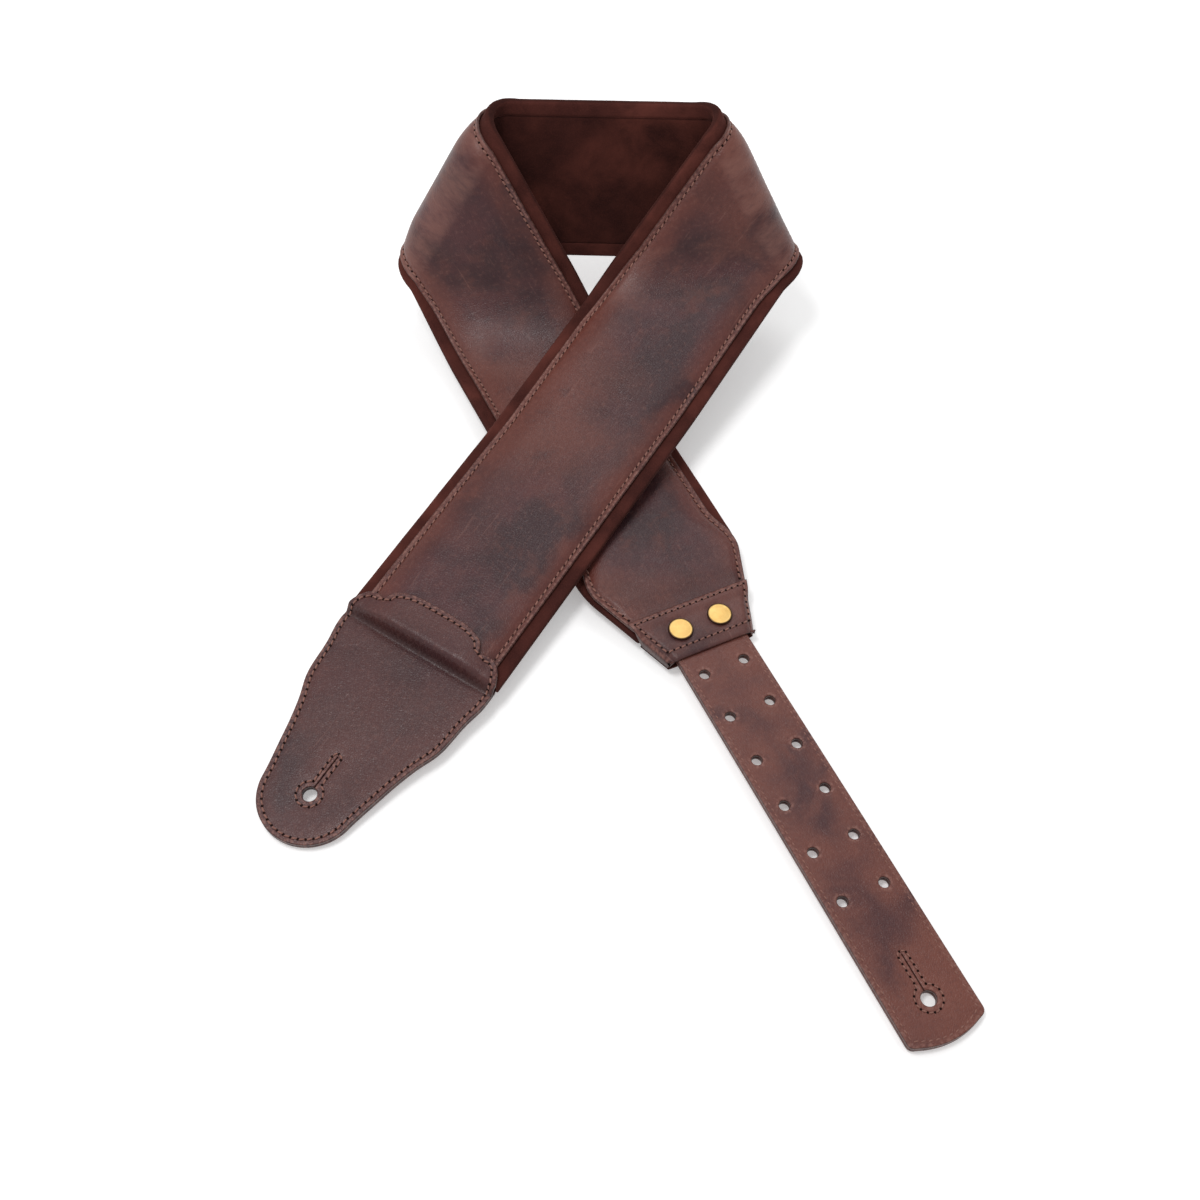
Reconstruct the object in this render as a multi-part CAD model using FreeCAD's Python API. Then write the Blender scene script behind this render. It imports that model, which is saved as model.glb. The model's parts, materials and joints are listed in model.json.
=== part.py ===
import FreeCAD, Part
import math
import os

# Wide padded leather guitar strap, laid down in a crossed loop. Millimetres, +Z up.
#
# Every piece is designed on the flat strap and then laid out in space.
#   s  runs along the strap, 0 on the neck band, negative towards the end tab, positive towards the tail
#   t  runs across it, 0 on the centre line
#   n  is the height above the suede side; the leather side faces +n
# The lay is a chain of bends. Each bend wraps what lies beyond its line round a cylinder, so lengths
# along the strap are kept. Beyond the last bend of each leg the strap is flat.
# The origin is the middle of the underside of the whole lay, on the surface that it rests on.

V = FreeCAD.Vector

# ---- the padded body -------------------------------------------------------------------------
BODY_WIDTH = 90.0
TAB_LEG = 439.6          # from s = 0 to the square end of the padding, under the end tab
POCKET_LEG = 376.0       # from s = 0 to the mouth that the tail comes out of
MOUTH_EDGE = 1.55        # body left beside the walls of the mouth
TAPER_LENGTH = 55.0      # the body narrows to the mouth over this length
TAPER_BLEND = 9.0        # softens the corner where the taper starts
SUEDE = 1.2              # backing and edge binding
EDGE_THICKNESS = 5.2     # over the rolled suede edge
BORDER = 6.5             # suede left showing beside the leather panel
BORDER_BACK = 8.3        # binding turned onto the wearer's side
BIND_LIP = 4.5           # binding that runs on under the leather panel
BORDER_AT_TAPER = 0.6    # the leather comes out to the edge along the taper
LEATHER = 2.0
PAD_RISE = 3.0           # how far the padding lifts the panel above its stitched edges
PAD_SHOULDER = 16.0      # width of the slope from the seam up to the flat of the pad
GLUE = 0.3               # clearance between layers that curve together
PAD_GAP = 0.5            # clearance round the soft core
THREAD_WIDTH = 0.9
THREAD_HEIGHT = 0.45
THREAD_LIFT = 0.2        # body seams above the leather, which curves under them
SEAM_INSET = 3.0         # body seam, in from the edge of the leather

# ---- tail and its pocket ---------------------------------------------------------------------
TAIL_WIDTH = 39.5
TAIL_OUT = 218.0         # tail beyond the mouth at the longest setting
TAIL_END_CROWN = 5.0     # the tip bulges past its corners
TAIL_CORNER = 3.5
TAIL_LAYER = 2.1
LAYER_GAP = 0.1
TAIL_LIFT = 1.1          # tail above the backing, room for the flange of a stud
TAIL_SIDE_GAP = 1.2
TAIL_TOP_GAP = 0.3
HOLE_PITCH = 26.2
HOLE_ROWS = 22.2         # distance between the two rows
HOLE_PAIRS = 7
TAIL_INNER_MARGIN = 8.6  # leather beyond the innermost pair of holes
LINING = 0.8
LINING_MARGIN = 3.75     # lining beyond each side of the tail
LINING_FROM_MOUTH = 43.0
POCKET_DEPTH = 182.0     # from the mouth to the blind end of the channel

# ---- snaps and the mouth band ----------------------------------------------------------------
SNAP_FROM_MOUTH = 13.4
BAND_LENGTH = 27.0
BAND_THICKNESS = 1.8
BAND_WALL = 2.0
CAP_DIAMETER = 12.8
CAP_HEIGHT = 1.3
CAP_SHANK = 3.0
SOCKET_DIAMETER = 9.8
SOCKET_HEIGHT = 1.15
STUD_DIAMETER = 4.2
STUD_PLAY = 0.5          # round the stud, in the tail's holes and in the socket
STUD_FLANGE = 8.4
STUD_FLANGE_HEIGHT = 0.7
POST_DIAMETER = 8.4
POST_HEIGHT = 0.5
SNAP_CLEARANCE = 0.2

# ---- end tab ---------------------------------------------------------------------------------
TAB_LENGTH = 116.6       # from the end of the padding to the tip
TAB_TIP_RADIUS = 25.2    # round the button hole
TAB_SHOULDER_INSET = 1.0 # in from the edge of the body where it leaves the padding
TAB_BACK_LAYER = 2.0
TAB_FRONT_LAYER = 2.2
TAB_LIFT = 0.4           # back layer above the lay surface of the suede
TAB_DROP = 7.0           # length over which the front layer steps down off the padding
BRACKET_DEPTH = 18.7     # scalloped edge: middle lobe beyond the end of the padding
BRACKET_LOBE = 10.3      # the two side lobes
BRACKET_NOTCH = 8.6
BRACKET_SIDE = 16.5      # from the notch out to the edge of the body
TAB_SEAM_INSET = 2.8

# ---- button holes ----------------------------------------------------------------------------
BUTTON_HOLE = 7.2
SLIT_LENGTH = 22.0
SLIT_WIDTH = 0.6
KEYHOLE_SEAM = 2.9       # thread outside the hole
KEYHOLE_SEAM_SLIT = 2.3  # thread beside the slit
TAIL_HOLE_FROM_END = 20.0
TAIL_SEAM_INSET = 2.5

# ---- how it lies: neck band, then outward along each leg --------------------------------------
BAND_YAW, BAND_TILT, BAND_ROLL = -3.25, 72.86, -1.19
# (s where the line meets the lower edge of the collar, skew, turn, radius of the suede face, side)
# side -1 folds towards the suede, +1 towards the leather
TAB_SIDE_BENDS = [(-129.009, 26.98, 168.3, 7.14, -1), (-105.139, -40.74, 55.44, 43.17, 1),
                  (-247.795, -34.48, 6.6, 152.7, 1)]
TAIL_SIDE_BENDS = [(66.053, -31.2, 177.8, 8.07, -1), (58.266, 32.74, 72.43, 68.23, 1)]

HALF = BODY_WIDTH / 2
MOUTH_WIDTH = TAIL_WIDTH + 2 * (TAIL_SIDE_GAP + BAND_WALL + MOUTH_EDGE)
TAIL_END = POCKET_LEG + TAIL_OUT
HOLE_DIAMETER = STUD_DIAMETER + 2 * STUD_PLAY
SOCKET_BORE = STUD_DIAMETER + 2 * STUD_PLAY
LINING_WIDTH = TAIL_WIDTH + 2 * LINING_MARGIN
LINING_END = POCKET_LEG - LINING_FROM_MOUTH
TAB_SHOULDER = HALF - TAB_SHOULDER_INSET
BRACKET_NOTCH_T = HALF - BRACKET_SIDE
MIDDLE = EDGE_THICKNESS   # the sheet that heights stand square to when the strap is bent
NORMAL_REACH = 1.5        # the sheet's slope is taken over twice this
rad = math.radians


class Bend:
    """Everything beyond a skewed line is wrapped round a cylinder and carried on straight past it."""

    def __init__(self, s, skew, turn, radius, side, way):
        k = rad(skew)
        self.origin = V(s + HALF * math.tan(k), 0, 0)
        self.across = V(math.cos(k), -math.sin(k), 0) * way
        self.along = V(math.sin(k), math.cos(k), 0)
        self.turn, self.radius, self.side = rad(turn), radius, side

    def carry(self, flat, now):
        u = (flat - self.origin).dot(self.across)
        if u <= 0:
            return now
        rel = now - self.origin
        v, n = rel.dot(self.along), rel.z
        r = self.radius - self.side * n
        arc = self.radius * self.turn
        angle = min(u / self.radius, self.turn)
        past = rel.dot(self.across) - min(u, arc)
        a = r * math.sin(angle) + past * math.cos(angle)
        h = self.side * (self.radius - r * math.cos(angle) + past * math.sin(angle))
        return self.origin + self.across * a + self.along * v + V(0, 0, h)


BENDS = {-1: [Bend(*b, -1) for b in TAB_SIDE_BENDS], 1: [Bend(*b, 1) for b in TAIL_SIDE_BENDS]}
STANCE = (FreeCAD.Rotation(V(0, 0, 1), BAND_YAW) * FreeCAD.Rotation(V(0, 1, 0), BAND_ROLL)
          * FreeCAD.Rotation(V(1, 0, 0), BAND_TILT) * FreeCAD.Rotation(V(0, 1, 0), 180))


def fold_sheet(s, t):
    """Where the middle sheet of the strap goes."""
    flat = V(s, t, MIDDLE)
    now = V(s, t, MIDDLE)
    # the strap is bent from its ends inwards, so each bend carries what lies beyond it
    for bend in reversed(BENDS[-1]):
        now = bend.carry(flat, now)
    for bend in reversed(BENDS[1]):
        now = bend.carry(flat, now)
    return STANCE.multVec(now)


def lay(s, t, n):
    """Point (s, t, n) of the flat strap, in space: heights stand square to the bent middle sheet."""
    d = NORMAL_REACH
    along = fold_sheet(s + d, t) - fold_sheet(s - d, t)
    across = fold_sheet(s, t + d) - fold_sheet(s, t - d)
    return fold_sheet(s, t) + along.cross(across).normalize() * (n - MIDDLE)


def lay_flat(shape, s):
    """A shape drawn as x = s, y = t, z = n on a flat stretch of the strap, moved to that stretch."""
    o = lay(s, 0, 0)
    x, y, z = lay(s + 1, 0, 0) - o, lay(s, 1, 0) - o, lay(s, 0, 1) - o
    m = FreeCAD.Matrix(x.x, y.x, z.x, 0, x.y, y.y, z.y, 0, x.z, y.z, z.z, 0, 0, 0, 0, 1)
    o = o - m.multVec(V(s, 0, 0))
    m.A14, m.A24, m.A34 = o.x, o.y, o.z
    out = shape.copy()
    out.transformShape(m, True)
    return out


# ---- smooth solids over the bends --------------------------------------------------------------
def ease(x):
    x = min(1.0, max(0.0, x))
    return x * x * (3 - 2 * x)


def spline_through(points, knots):
    """Poles, knots and multiplicities of the cubic through the points at the given knots."""
    curve = Part.BSplineCurve()
    if len(points) == 2:
        return points, [knots[0], knots[1]], [2, 2], 1
    curve.interpolate(Points=points, Parameters=knots)
    return curve.getPoles(), curve.getKnots(), curve.getMultiplicities(), curve.Degree


def spline_face(grid, u, v):
    """Face through a grid of points; u along the strap, v across."""
    columns = [spline_through([row[j] for row in grid], u) for j in range(len(v))]
    uk, um, ud = columns[0][1:]
    rows = [spline_through([c[0][i] for c in columns], v) for i in range(len(columns[0][0]))]
    vk, vm, vd = rows[0][1:]
    face = Part.BSplineSurface()
    face.buildFromPolesMultsKnots([r[0] for r in rows], um, vm, uk, vk, False, False, ud, vd)
    return face


def tube(stations, sides, place=lay):
    """Closed solid whose section is a ring of sides; each side lists (t, n) of its columns at s."""
    u = [(s - stations[0]) / (stations[-1] - stations[0]) for s in stations]
    faces, ends = [], ([], [])
    for side in sides:
        grid = [[place(s, t, n) for t, n in side(s)] for s in stations]
        v = [0.0]
        for a, b in zip(side(stations[0]), side(stations[0])[1:]):
            v.append(v[-1] + math.hypot(b[0] - a[0], b[1] - a[1]))
        v = [x / v[-1] for x in v]
        surface = spline_face(grid, u, v)
        faces.append(surface.toShape())
        ends[0].append(surface.uIso(u[0]).toShape())
        ends[1].append(surface.uIso(u[-1]).toShape())
    for edges in ends:
        faces.append(Part.Face(Part.Wire(Part.__sortEdges__(edges))))
    shell = Part.makeShell(faces)
    shell.sewShape()
    solid = Part.makeSolid(shell)
    if solid.Volume < 0:
        solid.reverse()
    return solid


def stations(start, end):
    """Stations along the strap, close together where it folds and further apart where it is flat."""
    step_at = []
    for bends in BENDS.values():
        for b in bends:
            reach = HALF * abs(b.along.x / b.along.y)
            length = b.radius * b.turn / abs(b.across.x)
            way = 1 if b.across.x > 0 else -1
            near = b.origin.x - way * reach
            far = b.origin.x + way * (length + reach)
            step = min(14.0, max(2.0, 0.2 * b.radius))
            step_at.append((min(near, far) - step, max(near, far) + step, step))
    out = [start]
    while out[-1] < end:
        step = 14.0
        for low, high, fine in step_at:
            if out[-1] + fine > low and out[-1] < high:
                step = min(step, fine)
        if POCKET_LEG - TAPER_LENGTH - 25 < out[-1] + 4:
            step = min(step, 4.0)
        if -TAB_LEG + 30 > out[-1]:
            step = min(step, 5.0)
        out.append(out[-1] + step)
    if end - out[-2] < 0.5 * (out[-1] - out[-2]) and len(out) > 5:
        out.pop()
    out[-1] = end
    return out


# ---- the section of the body ---------------------------------------------------------------------
TAPER_START = POCKET_LEG - TAPER_LENGTH
TAPER_SLOPE = (HALF - MOUTH_WIDTH / 2) / TAPER_LENGTH


def half_width(s):
    """Half the width of the body at s, with the taper towards the mouth."""
    x = s - TAPER_START
    soft = TAPER_BLEND
    if x > soft:
        drop = x
    elif x > -soft:
        drop = (x + soft) ** 2 / (4 * soft)
    else:
        drop = 0.0
    return HALF - TAPER_SLOPE * drop


def taper_part(s):
    """0 on the body, 1 along the taper."""
    return ease((s - (TAPER_START - 22)) / 30)


def border(s):
    return BORDER + (BORDER_AT_TAPER - BORDER) * taper_part(s)


# layers over the tail, from the suede up
TAIL_BASE = SUEDE + TAIL_LIFT
TAIL_TOP = TAIL_BASE + 2 * TAIL_LAYER + LAYER_GAP
PANEL_AT_EDGE = EDGE_THICKNESS + GLUE
PANEL_AT_MOUTH = TAIL_TOP + TAIL_TOP_GAP


def panel_under(s, t):
    """Height of the underside of the leather panel: pulled down at its seam, lifted by the pad."""
    in_pocket = taper_part(s + 6)
    edge = PANEL_AT_EDGE + (PANEL_AT_MOUTH - PANEL_AT_EDGE) * in_pocket
    rise = PAD_RISE * (1 - in_pocket) + LINING_OVER_TAIL * in_pocket * (1 - ease((s - LINING_END) / 14))
    shoulder = PAD_SHOULDER * (1 - 0.7 * in_pocket)
    inside = half_width(s) - abs(t) - border(s) - SEAM_INSET
    x = min(1.0, max(0.0, inside / shoulder))
    return edge + rise * (1 - (1 - x) ** 2)


LINING_BASE = TAIL_TOP + TAIL_TOP_GAP
LINING_OVER_TAIL = LINING + GLUE + 0.05


def spread(a, b, count):
    return [a + (b - a) * i / (count - 1) for i in range(count)]


def strip_columns(s, edge, low, high, count):
    """Two long faces and two edges of a layer that reaches to `edge` in from the body's edge."""
    w = half_width(s) - edge
    ts = [w * math.sin(x) / math.sin(1.25) for x in spread(-1.25, 1.25, count)]
    return [(t, low(s, t)) for t in ts], [(t, high(s, t)) for t in reversed(ts)]


def layer(start, end, edge, low, high, count=17):
    """A layer of the body between two heights; `edge` gives its distance in from the body's edge."""
    def bottom(s):
        return strip_columns(s, edge(s), low, high, count)[0]

    def top(s):
        return strip_columns(s, edge(s), low, high, count)[1]

    def right(s):
        return [bottom(s)[-1], top(s)[0]]

    def left(s):
        return [top(s)[-1], bottom(s)[0]]

    return tube(stations(start, end), [bottom, right, top, left])


BODY_START = -TAB_LEG
BINDING_END = POCKET_LEG - 20.0
PANEL_END = POCKET_LEG - BAND_LENGTH + 4.0


def front_leather():
    low = panel_under
    return layer(BODY_START, PANEL_END, border, low, lambda s, t: low(s, t) + LEATHER)


def suede_backing():
    inset = BORDER_BACK + GLUE
    # past the end of the bindings the backing comes out to the edge of the mouth
    body = layer(BODY_START, BINDING_END, lambda s: inset, lambda s, t: 0.0, lambda s, t: SUEDE, 13)
    a, b = half_width(BINDING_END) - inset, half_width(BINDING_END) - 0.4
    c = MOUTH_WIDTH / 2
    outline = [(BINDING_END, -a), (BINDING_END + GLUE, -a), (BINDING_END + GLUE, -b), (POCKET_LEG, -c),
               (POCKET_LEG, c), (BINDING_END + GLUE, b), (BINDING_END + GLUE, a), (BINDING_END, a)]
    end = lay_flat(prism(outline, 0.0, SUEDE), BINDING_END)
    for x, y in snap_places():
        hole = Part.makeCylinder(STUD_DIAMETER / 2, 10, V(x, y, -5))
        end = end.cut(lay_flat(hole, BINDING_END))
    return body.fuse(end)


def arc_points(centre, radius, start, end, count):
    return [(centre[0] + radius * math.cos(rad(x)), centre[1] + radius * math.sin(rad(x)))
            for x in spread(start, end, count)]


def edge_binding(way):
    """Suede folded round the edge: its section is a hook, measured in (inward from the edge, n)."""
    r = EDGE_THICKNESS / 2
    ri = r - SUEDE
    lip = BORDER + BIND_LIP

    def lip_at(s):
        return min(lip, half_width(s) - TAIL_WIDTH / 2 - TAIL_SIDE_GAP)

    def outer(s):
        pts = [(BORDER_BACK, 0), (0.5 * (BORDER_BACK + r), 0)] + arc_points((r, r), r, 270, 90, 7)
        return pts + [(0.5 * (lip_at(s) + r), EDGE_THICKNESS), (lip_at(s), EDGE_THICKNESS)]

    def inner(s):
        top = EDGE_THICKNESS - SUEDE
        pts = [(lip_at(s), top), (0.5 * (lip_at(s) + r), top)] + arc_points((r, r), ri, 90, 270, 7)
        return pts + [(0.5 * (BORDER_BACK + r), SUEDE), (BORDER_BACK, SUEDE)]

    def side(points):
        def columns(s):
            return [(way * (half_width(s) - a), n) for a, n in points(s)]
        return columns

    def lip_end(s):
        return [outer(s)[-1], inner(s)[0]]

    def back_end(s):
        return [inner(s)[-1], outer(s)[0]]

    return tube(stations(BODY_START, BINDING_END), [side(f) for f in (outer, lip_end, inner, back_end)])


def foam_padding():
    """Soft core: thin inside the folded binding, full height under the panel, cut for the tail."""
    reach = SUEDE + 4 * PAD_GAP
    lip = BORDER + BIND_LIP + PAD_GAP
    base = SUEDE + PAD_GAP
    under_lip = EDGE_THICKNESS - SUEDE - PAD_GAP
    start, end = BODY_START + 8.0, POCKET_LEG - 31.0

    def ring(s):
        w, m = half_width(s) - reach, half_width(s) - lip
        return w, m

    def bottom(s):
        w, m = ring(s)
        return [(t, base) for t in spread(-w, w, 13)]

    def wall(way):
        def columns(s):
            w, m = ring(s)
            pts = [(way * w, base), (way * w, under_lip)]
            return pts if way > 0 else pts[::-1]
        return columns

    def shelf(way):
        def columns(s):
            w, m = ring(s)
            pts = [(way * x, under_lip) for x in spread(w, m, 4)]
            return pts if way > 0 else pts[::-1]
        return columns

    def riser(way):
        def columns(s):
            w, m = ring(s)
            pts = [(way * m, under_lip), (way * m, panel_under(s, m) - PAD_GAP)]
            return pts if way > 0 else pts[::-1]
        return columns

    def top(s):
        w, m = ring(s)
        ts = [m * math.sin(x) / math.sin(1.2) for x in spread(1.2, -1.2, 15)]
        return [(t, panel_under(s, t) - PAD_GAP) for t in ts]

    pad = tube(stations(start, end), [bottom, wall(1), shelf(1), riser(1), top, riser(-1), shelf(-1), wall(-1)])
    channel_start = POCKET_LEG - POCKET_DEPTH
    y = max(TAIL_WIDTH / 2 + TAIL_SIDE_GAP, LINING_WIDTH / 2 + GLUE)
    depth = LINING_BASE + LINING + PAD_RISE
    channel = Part.makeBox(end - channel_start + 20, 2 * y, depth + 5, V(channel_start, -y, -5))
    return pad.cut(lay_flat(channel, end))


def pocket_lining():
    w = LINING_WIDTH / 2
    start = POCKET_LEG - POCKET_DEPTH + 6
    box = Part.makeBox(LINING_END - start, 2 * w, LINING, V(start, -w, LINING_BASE))
    return lay_flat(box, LINING_END)


def body_seam(way):
    """Thread along the leather panel, over its stitched line."""
    def columns(offset, height):
        def at(s):
            t = way * (half_width(s) - border(s) - SEAM_INSET - offset)
            return (t, panel_under(s, t) + LEATHER + height)
        return at

    o, h = THREAD_WIDTH / 2, THREAD_HEIGHT
    low, high = THREAD_LIFT, THREAD_LIFT + h
    corners = [columns(-o, low), columns(o, low), columns(o, high), columns(-o, high)]
    if way < 0:
        corners.reverse()

    def side(a, b):
        return lambda s: [a(s), b(s)]

    sides = [side(corners[i], corners[(i + 1) % 4]) for i in range(4)]
    return tube(stations(BODY_START + BRACKET_DEPTH + 2, PANEL_END - 7), sides)


# ---- flat shapes -----------------------------------------------------------------------------------
def prism(points, low, high):
    wire = Part.makePolygon([V(x, y, low) for x, y in points] + [V(points[0][0], points[0][1], low)])
    return Part.Face(wire).extrude(V(0, 0, high - low))


def curve_edge(points, z=0.0):
    curve = Part.BSplineCurve()
    curve.interpolate([V(x, y, z) for x, y in points])
    return curve.toShape()


def ribbon(points, width, low, high, closed=False):
    """Flat thread of the given width along a run of points."""
    left, right = [], []
    count = len(points)
    for i, (x, y) in enumerate(points):
        if closed:
            a, b = points[i - 1], points[(i + 1) % count]
        else:
            a, b = points[max(0, i - 1)], points[min(count - 1, i + 1)]
        dx, dy = b[0] - a[0], b[1] - a[1]
        size = math.hypot(dx, dy)
        nx, ny = -dy / size * width / 2, dx / size * width / 2
        left.append((x + nx, y + ny))
        right.append((x - nx, y - ny))
    if not closed:
        return prism(left + right[::-1], low, high)
    outer, inner = prism(left, low, high), prism(right, low, high)
    if outer.Volume < inner.Volume:
        outer, inner = inner, outer
    return outer.cut(inner)


def inset_run(points, distance):
    """Points moved sideways, to the left of the way they run."""
    out = []
    for i, (x, y) in enumerate(points):
        a, b = points[max(0, i - 1)], points[min(len(points) - 1, i + 1)]
        dx, dy = b[0] - a[0], b[1] - a[1]
        size = math.hypot(dx, dy)
        out.append((x - dy / size * distance, y + dx / size * distance))
    return out


def keyhole(centre, way, low, high):
    """Button hole with a slit that runs `way` (+1 or -1) along s from it."""
    hole = Part.makeCylinder(BUTTON_HOLE / 2, high - low, V(centre, 0, low))
    x = centre if way > 0 else centre - SLIT_LENGTH
    slit = Part.makeBox(SLIT_LENGTH, SLIT_WIDTH, high - low, V(x, -SLIT_WIDTH / 2, low))
    return hole.fuse(slit)


def keyhole_seam_run(centre, way):
    """Closed run of thread round the hole and its slit."""
    r = BUTTON_HOLE / 2 + KEYHOLE_SEAM
    w = KEYHOLE_SEAM_SLIT
    opening = math.degrees(math.asin(w / r))
    points = [(centre + way * x, y) for x, y in arc_points((0, 0), r, opening, 360 - opening, 33)]
    tip = SLIT_LENGTH + 1.5
    start = r * math.cos(rad(opening))
    points += [(centre + way * x, -w) for x in spread(start + 2, tip - w, 7)]
    points += [(centre + way * x, y) for x, y in arc_points((tip - w, 0), w, -80, 80, 9)]
    points += [(centre + way * x, w) for x in spread(tip - w, start + 2, 7)]
    return points


def mirrored(points):
    """A run for t > 0, from the middle out, closed by its mirror image."""
    return [(x, -y) for x, y in points[::-1] if y > 1e-6] + list(points)


# ---- tail --------------------------------------------------------------------------------------------
SNAP_S = POCKET_LEG - SNAP_FROM_MOUTH
TAIL_START = SNAP_S - TAIL_INNER_MARGIN
TAIL_HOLE_S = TAIL_END - TAIL_HOLE_FROM_END


def snap_places():
    return [(SNAP_S, HOLE_ROWS / 2), (SNAP_S, -HOLE_ROWS / 2)]


def tail_tip(inset):
    """Half of the tip, from the middle to the long edge, moved in by the inset."""
    w = TAIL_WIDTH / 2 - inset
    corner = max(0.8, TAIL_CORNER - 0.5 * inset)
    end, side = TAIL_END - inset, TAIL_END - TAIL_END_CROWN - inset
    run = [(end - (end - side) * (y / w) ** 2, y) for y in spread(0, w - corner, 8)]
    x, slope = run[-1][0], 2 * TAIL_END_CROWN * (w - corner) / w ** 2
    run += [(x - corner * (slope * a + (1 - slope) * a * a), w - corner + corner * (2 * a - a * a))
            for a in (0.25, 0.5, 0.75, 1.0)]
    return run


def tail_layer(low):
    w = TAIL_WIDTH / 2
    tip = mirrored(tail_tip(0.0))
    edges = [curve_edge(tip), Part.makeLine(V(tip[-1][0], w, 0), V(TAIL_START, w, 0)),
             Part.makeLine(V(TAIL_START, w, 0), V(TAIL_START, -w, 0)),
             Part.makeLine(V(TAIL_START, -w, 0), V(tip[0][0], -w, 0))]
    solid = Part.Face(Part.Wire(Part.__sortEdges__(edges))).extrude(V(0, 0, TAIL_LAYER))
    for i in range(HOLE_PAIRS):
        for y in (-HOLE_ROWS / 2, HOLE_ROWS / 2):
            hole = Part.makeCylinder(HOLE_DIAMETER / 2, 40, V(SNAP_S + i * HOLE_PITCH, y, -20))
            solid = solid.cut(hole)
    solid = solid.cut(keyhole(TAIL_HOLE_S, -1, -20, 20))
    solid.translate(V(0, 0, low))
    return lay_flat(solid, POCKET_LEG)


def tail_seam():
    tip = tail_tip(TAIL_SEAM_INSET)
    w = TAIL_WIDTH / 2 - TAIL_SEAM_INSET
    inner = [(x, w) for x in spread(tip[-1][0] - 6, TAIL_START + TAIL_SEAM_INSET, 20)]
    run = mirrored(tip + inner)
    thread = ribbon(run, THREAD_WIDTH, TAIL_TOP, TAIL_TOP + 0.6 * TAIL_TOP_GAP)
    return lay_flat(thread, POCKET_LEG)


def tail_keyhole_seam():
    run = keyhole_seam_run(TAIL_HOLE_S, -1)
    thread = ribbon(run, THREAD_WIDTH, TAIL_TOP, TAIL_TOP + 0.6 * TAIL_TOP_GAP, closed=True)
    return lay_flat(thread, POCKET_LEG)


# ---- mouth band and snaps ------------------------------------------------------------------------------
BAND_START = POCKET_LEG - BAND_LENGTH
BAND_AT_TOP = PANEL_AT_MOUTH + LEATHER + GLUE      # underside of the band where it overlaps the panel
SOCKET_BASE = TAIL_TOP + SNAP_CLEARANCE
BAND_AT_SNAP = SOCKET_BASE + SOCKET_HEIGHT + SNAP_CLEARANCE
BAND_AT_MOUTH = TAIL_TOP + 0.4


def band_profile():
    """Underside of the band along s."""
    step = PANEL_END + 0.6
    return [(BAND_START, BAND_AT_TOP), (step, BAND_AT_TOP), (step + 2.6, BAND_AT_SNAP),
            (SNAP_S + SOCKET_DIAMETER / 2 + 0.6, BAND_AT_SNAP), (POCKET_LEG, BAND_AT_MOUTH)]


def band_under(s):
    run = band_profile()
    for (a, na), (b, nb) in zip(run, run[1:]):
        if s <= b:
            return na + (nb - na) * (s - a) / (b - a)
    return run[-1][1]


def band_outline(inset):
    a, b = half_width(BAND_START) - inset, MOUTH_WIDTH / 2 - inset
    return [(BAND_START, -a), (POCKET_LEG + 1.2, -b), (POCKET_LEG + 1.2, b), (BAND_START, a)]


def mouth_band():
    run = band_profile()
    # the mouth edge is folded over a roll
    over = [(x, n + BAND_THICKNESS) for x, n in reversed(run)]
    wire = Part.makePolygon([V(x, -60, n) for x, n in run + over] + [V(run[0][0], -60, run[0][1])])
    plate = Part.Face(wire).extrude(V(0, 120, 0))
    roll = Part.makeCylinder(BAND_THICKNESS / 2 + 0.15, 120, V(POCKET_LEG - 0.2, -60, BAND_AT_MOUTH
                             + BAND_THICKNESS / 2), V(0, 1, 0))
    band = plate.fuse(roll).common(prism(band_outline(0.3), -5, 40))
    # side walls reach down to the backing beyond the end of the bindings
    wall_start = BINDING_END + 2.0
    for way in (-1, 1):
        a, b = half_width(wall_start) - 0.3, MOUTH_WIDTH / 2 - 0.3
        pts = [(wall_start, way * a), (POCKET_LEG, way * b), (POCKET_LEG, way * (b - BAND_WALL)),
               (wall_start, way * (a - BAND_WALL))]
        wall = prism(pts, SUEDE + GLUE, BAND_AT_MOUTH + 0.6)
        band = band.fuse(wall)
    for x, y in snap_places():
        band = band.cut(Part.makeCylinder(CAP_SHANK / 2 + 0.15, 40, V(x, y, -5)))
    return lay_flat(band, POCKET_LEG)


def band_seam():
    """Thread along the top of the band and along its mouth edge."""
    inset = 2.6
    top_s, low_s = BAND_START + 2.2, POCKET_LEG - 4.0
    a = half_width(BAND_START) - inset - 0.4
    b = half_width(low_s) - inset - 0.6
    pieces = []
    for s, w in ((top_s, a), (low_s, b)):
        n = band_under(s) + BAND_THICKNESS
        tilt = band_under(s + 0.45) - band_under(s - 0.45)
        pieces.append(ribbon([(s, -w), (s, w)], THREAD_WIDTH, n + abs(tilt) / 2, n + THREAD_HEIGHT
                             + abs(tilt) / 2))
    seam = pieces[0]
    for piece in pieces[1:]:
        seam = Part.makeCompound([seam, piece])
    return lay_flat(seam, POCKET_LEG)


def snap_cap(x, y):
    base = BAND_AT_SNAP + BAND_THICKNESS
    disc = Part.makeCylinder(CAP_DIAMETER / 2, CAP_HEIGHT, V(x, y, base))
    rim = [e for e in disc.Edges if abs(e.BoundBox.ZMin - base - CAP_HEIGHT) < 1e-6
           and len(e.Vertexes) == 1]
    disc = disc.makeFillet(0.45 * CAP_HEIGHT, rim[:1])
    shank = Part.makeCylinder(CAP_SHANK / 2, base - BAND_AT_SNAP + SNAP_CLEARANCE,
                              V(x, y, BAND_AT_SNAP - SNAP_CLEARANCE))
    return lay_flat(disc.fuse(shank), POCKET_LEG)


def snap_socket(x, y):
    """Ring with a thin roof, under the band."""
    ring = Part.makeCylinder(SOCKET_DIAMETER / 2, SOCKET_HEIGHT, V(x, y, SOCKET_BASE))
    bore = Part.makeCylinder(SOCKET_BORE / 2, SOCKET_HEIGHT - 0.25, V(x, y, SOCKET_BASE))
    return lay_flat(ring.cut(bore), POCKET_LEG)


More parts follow.
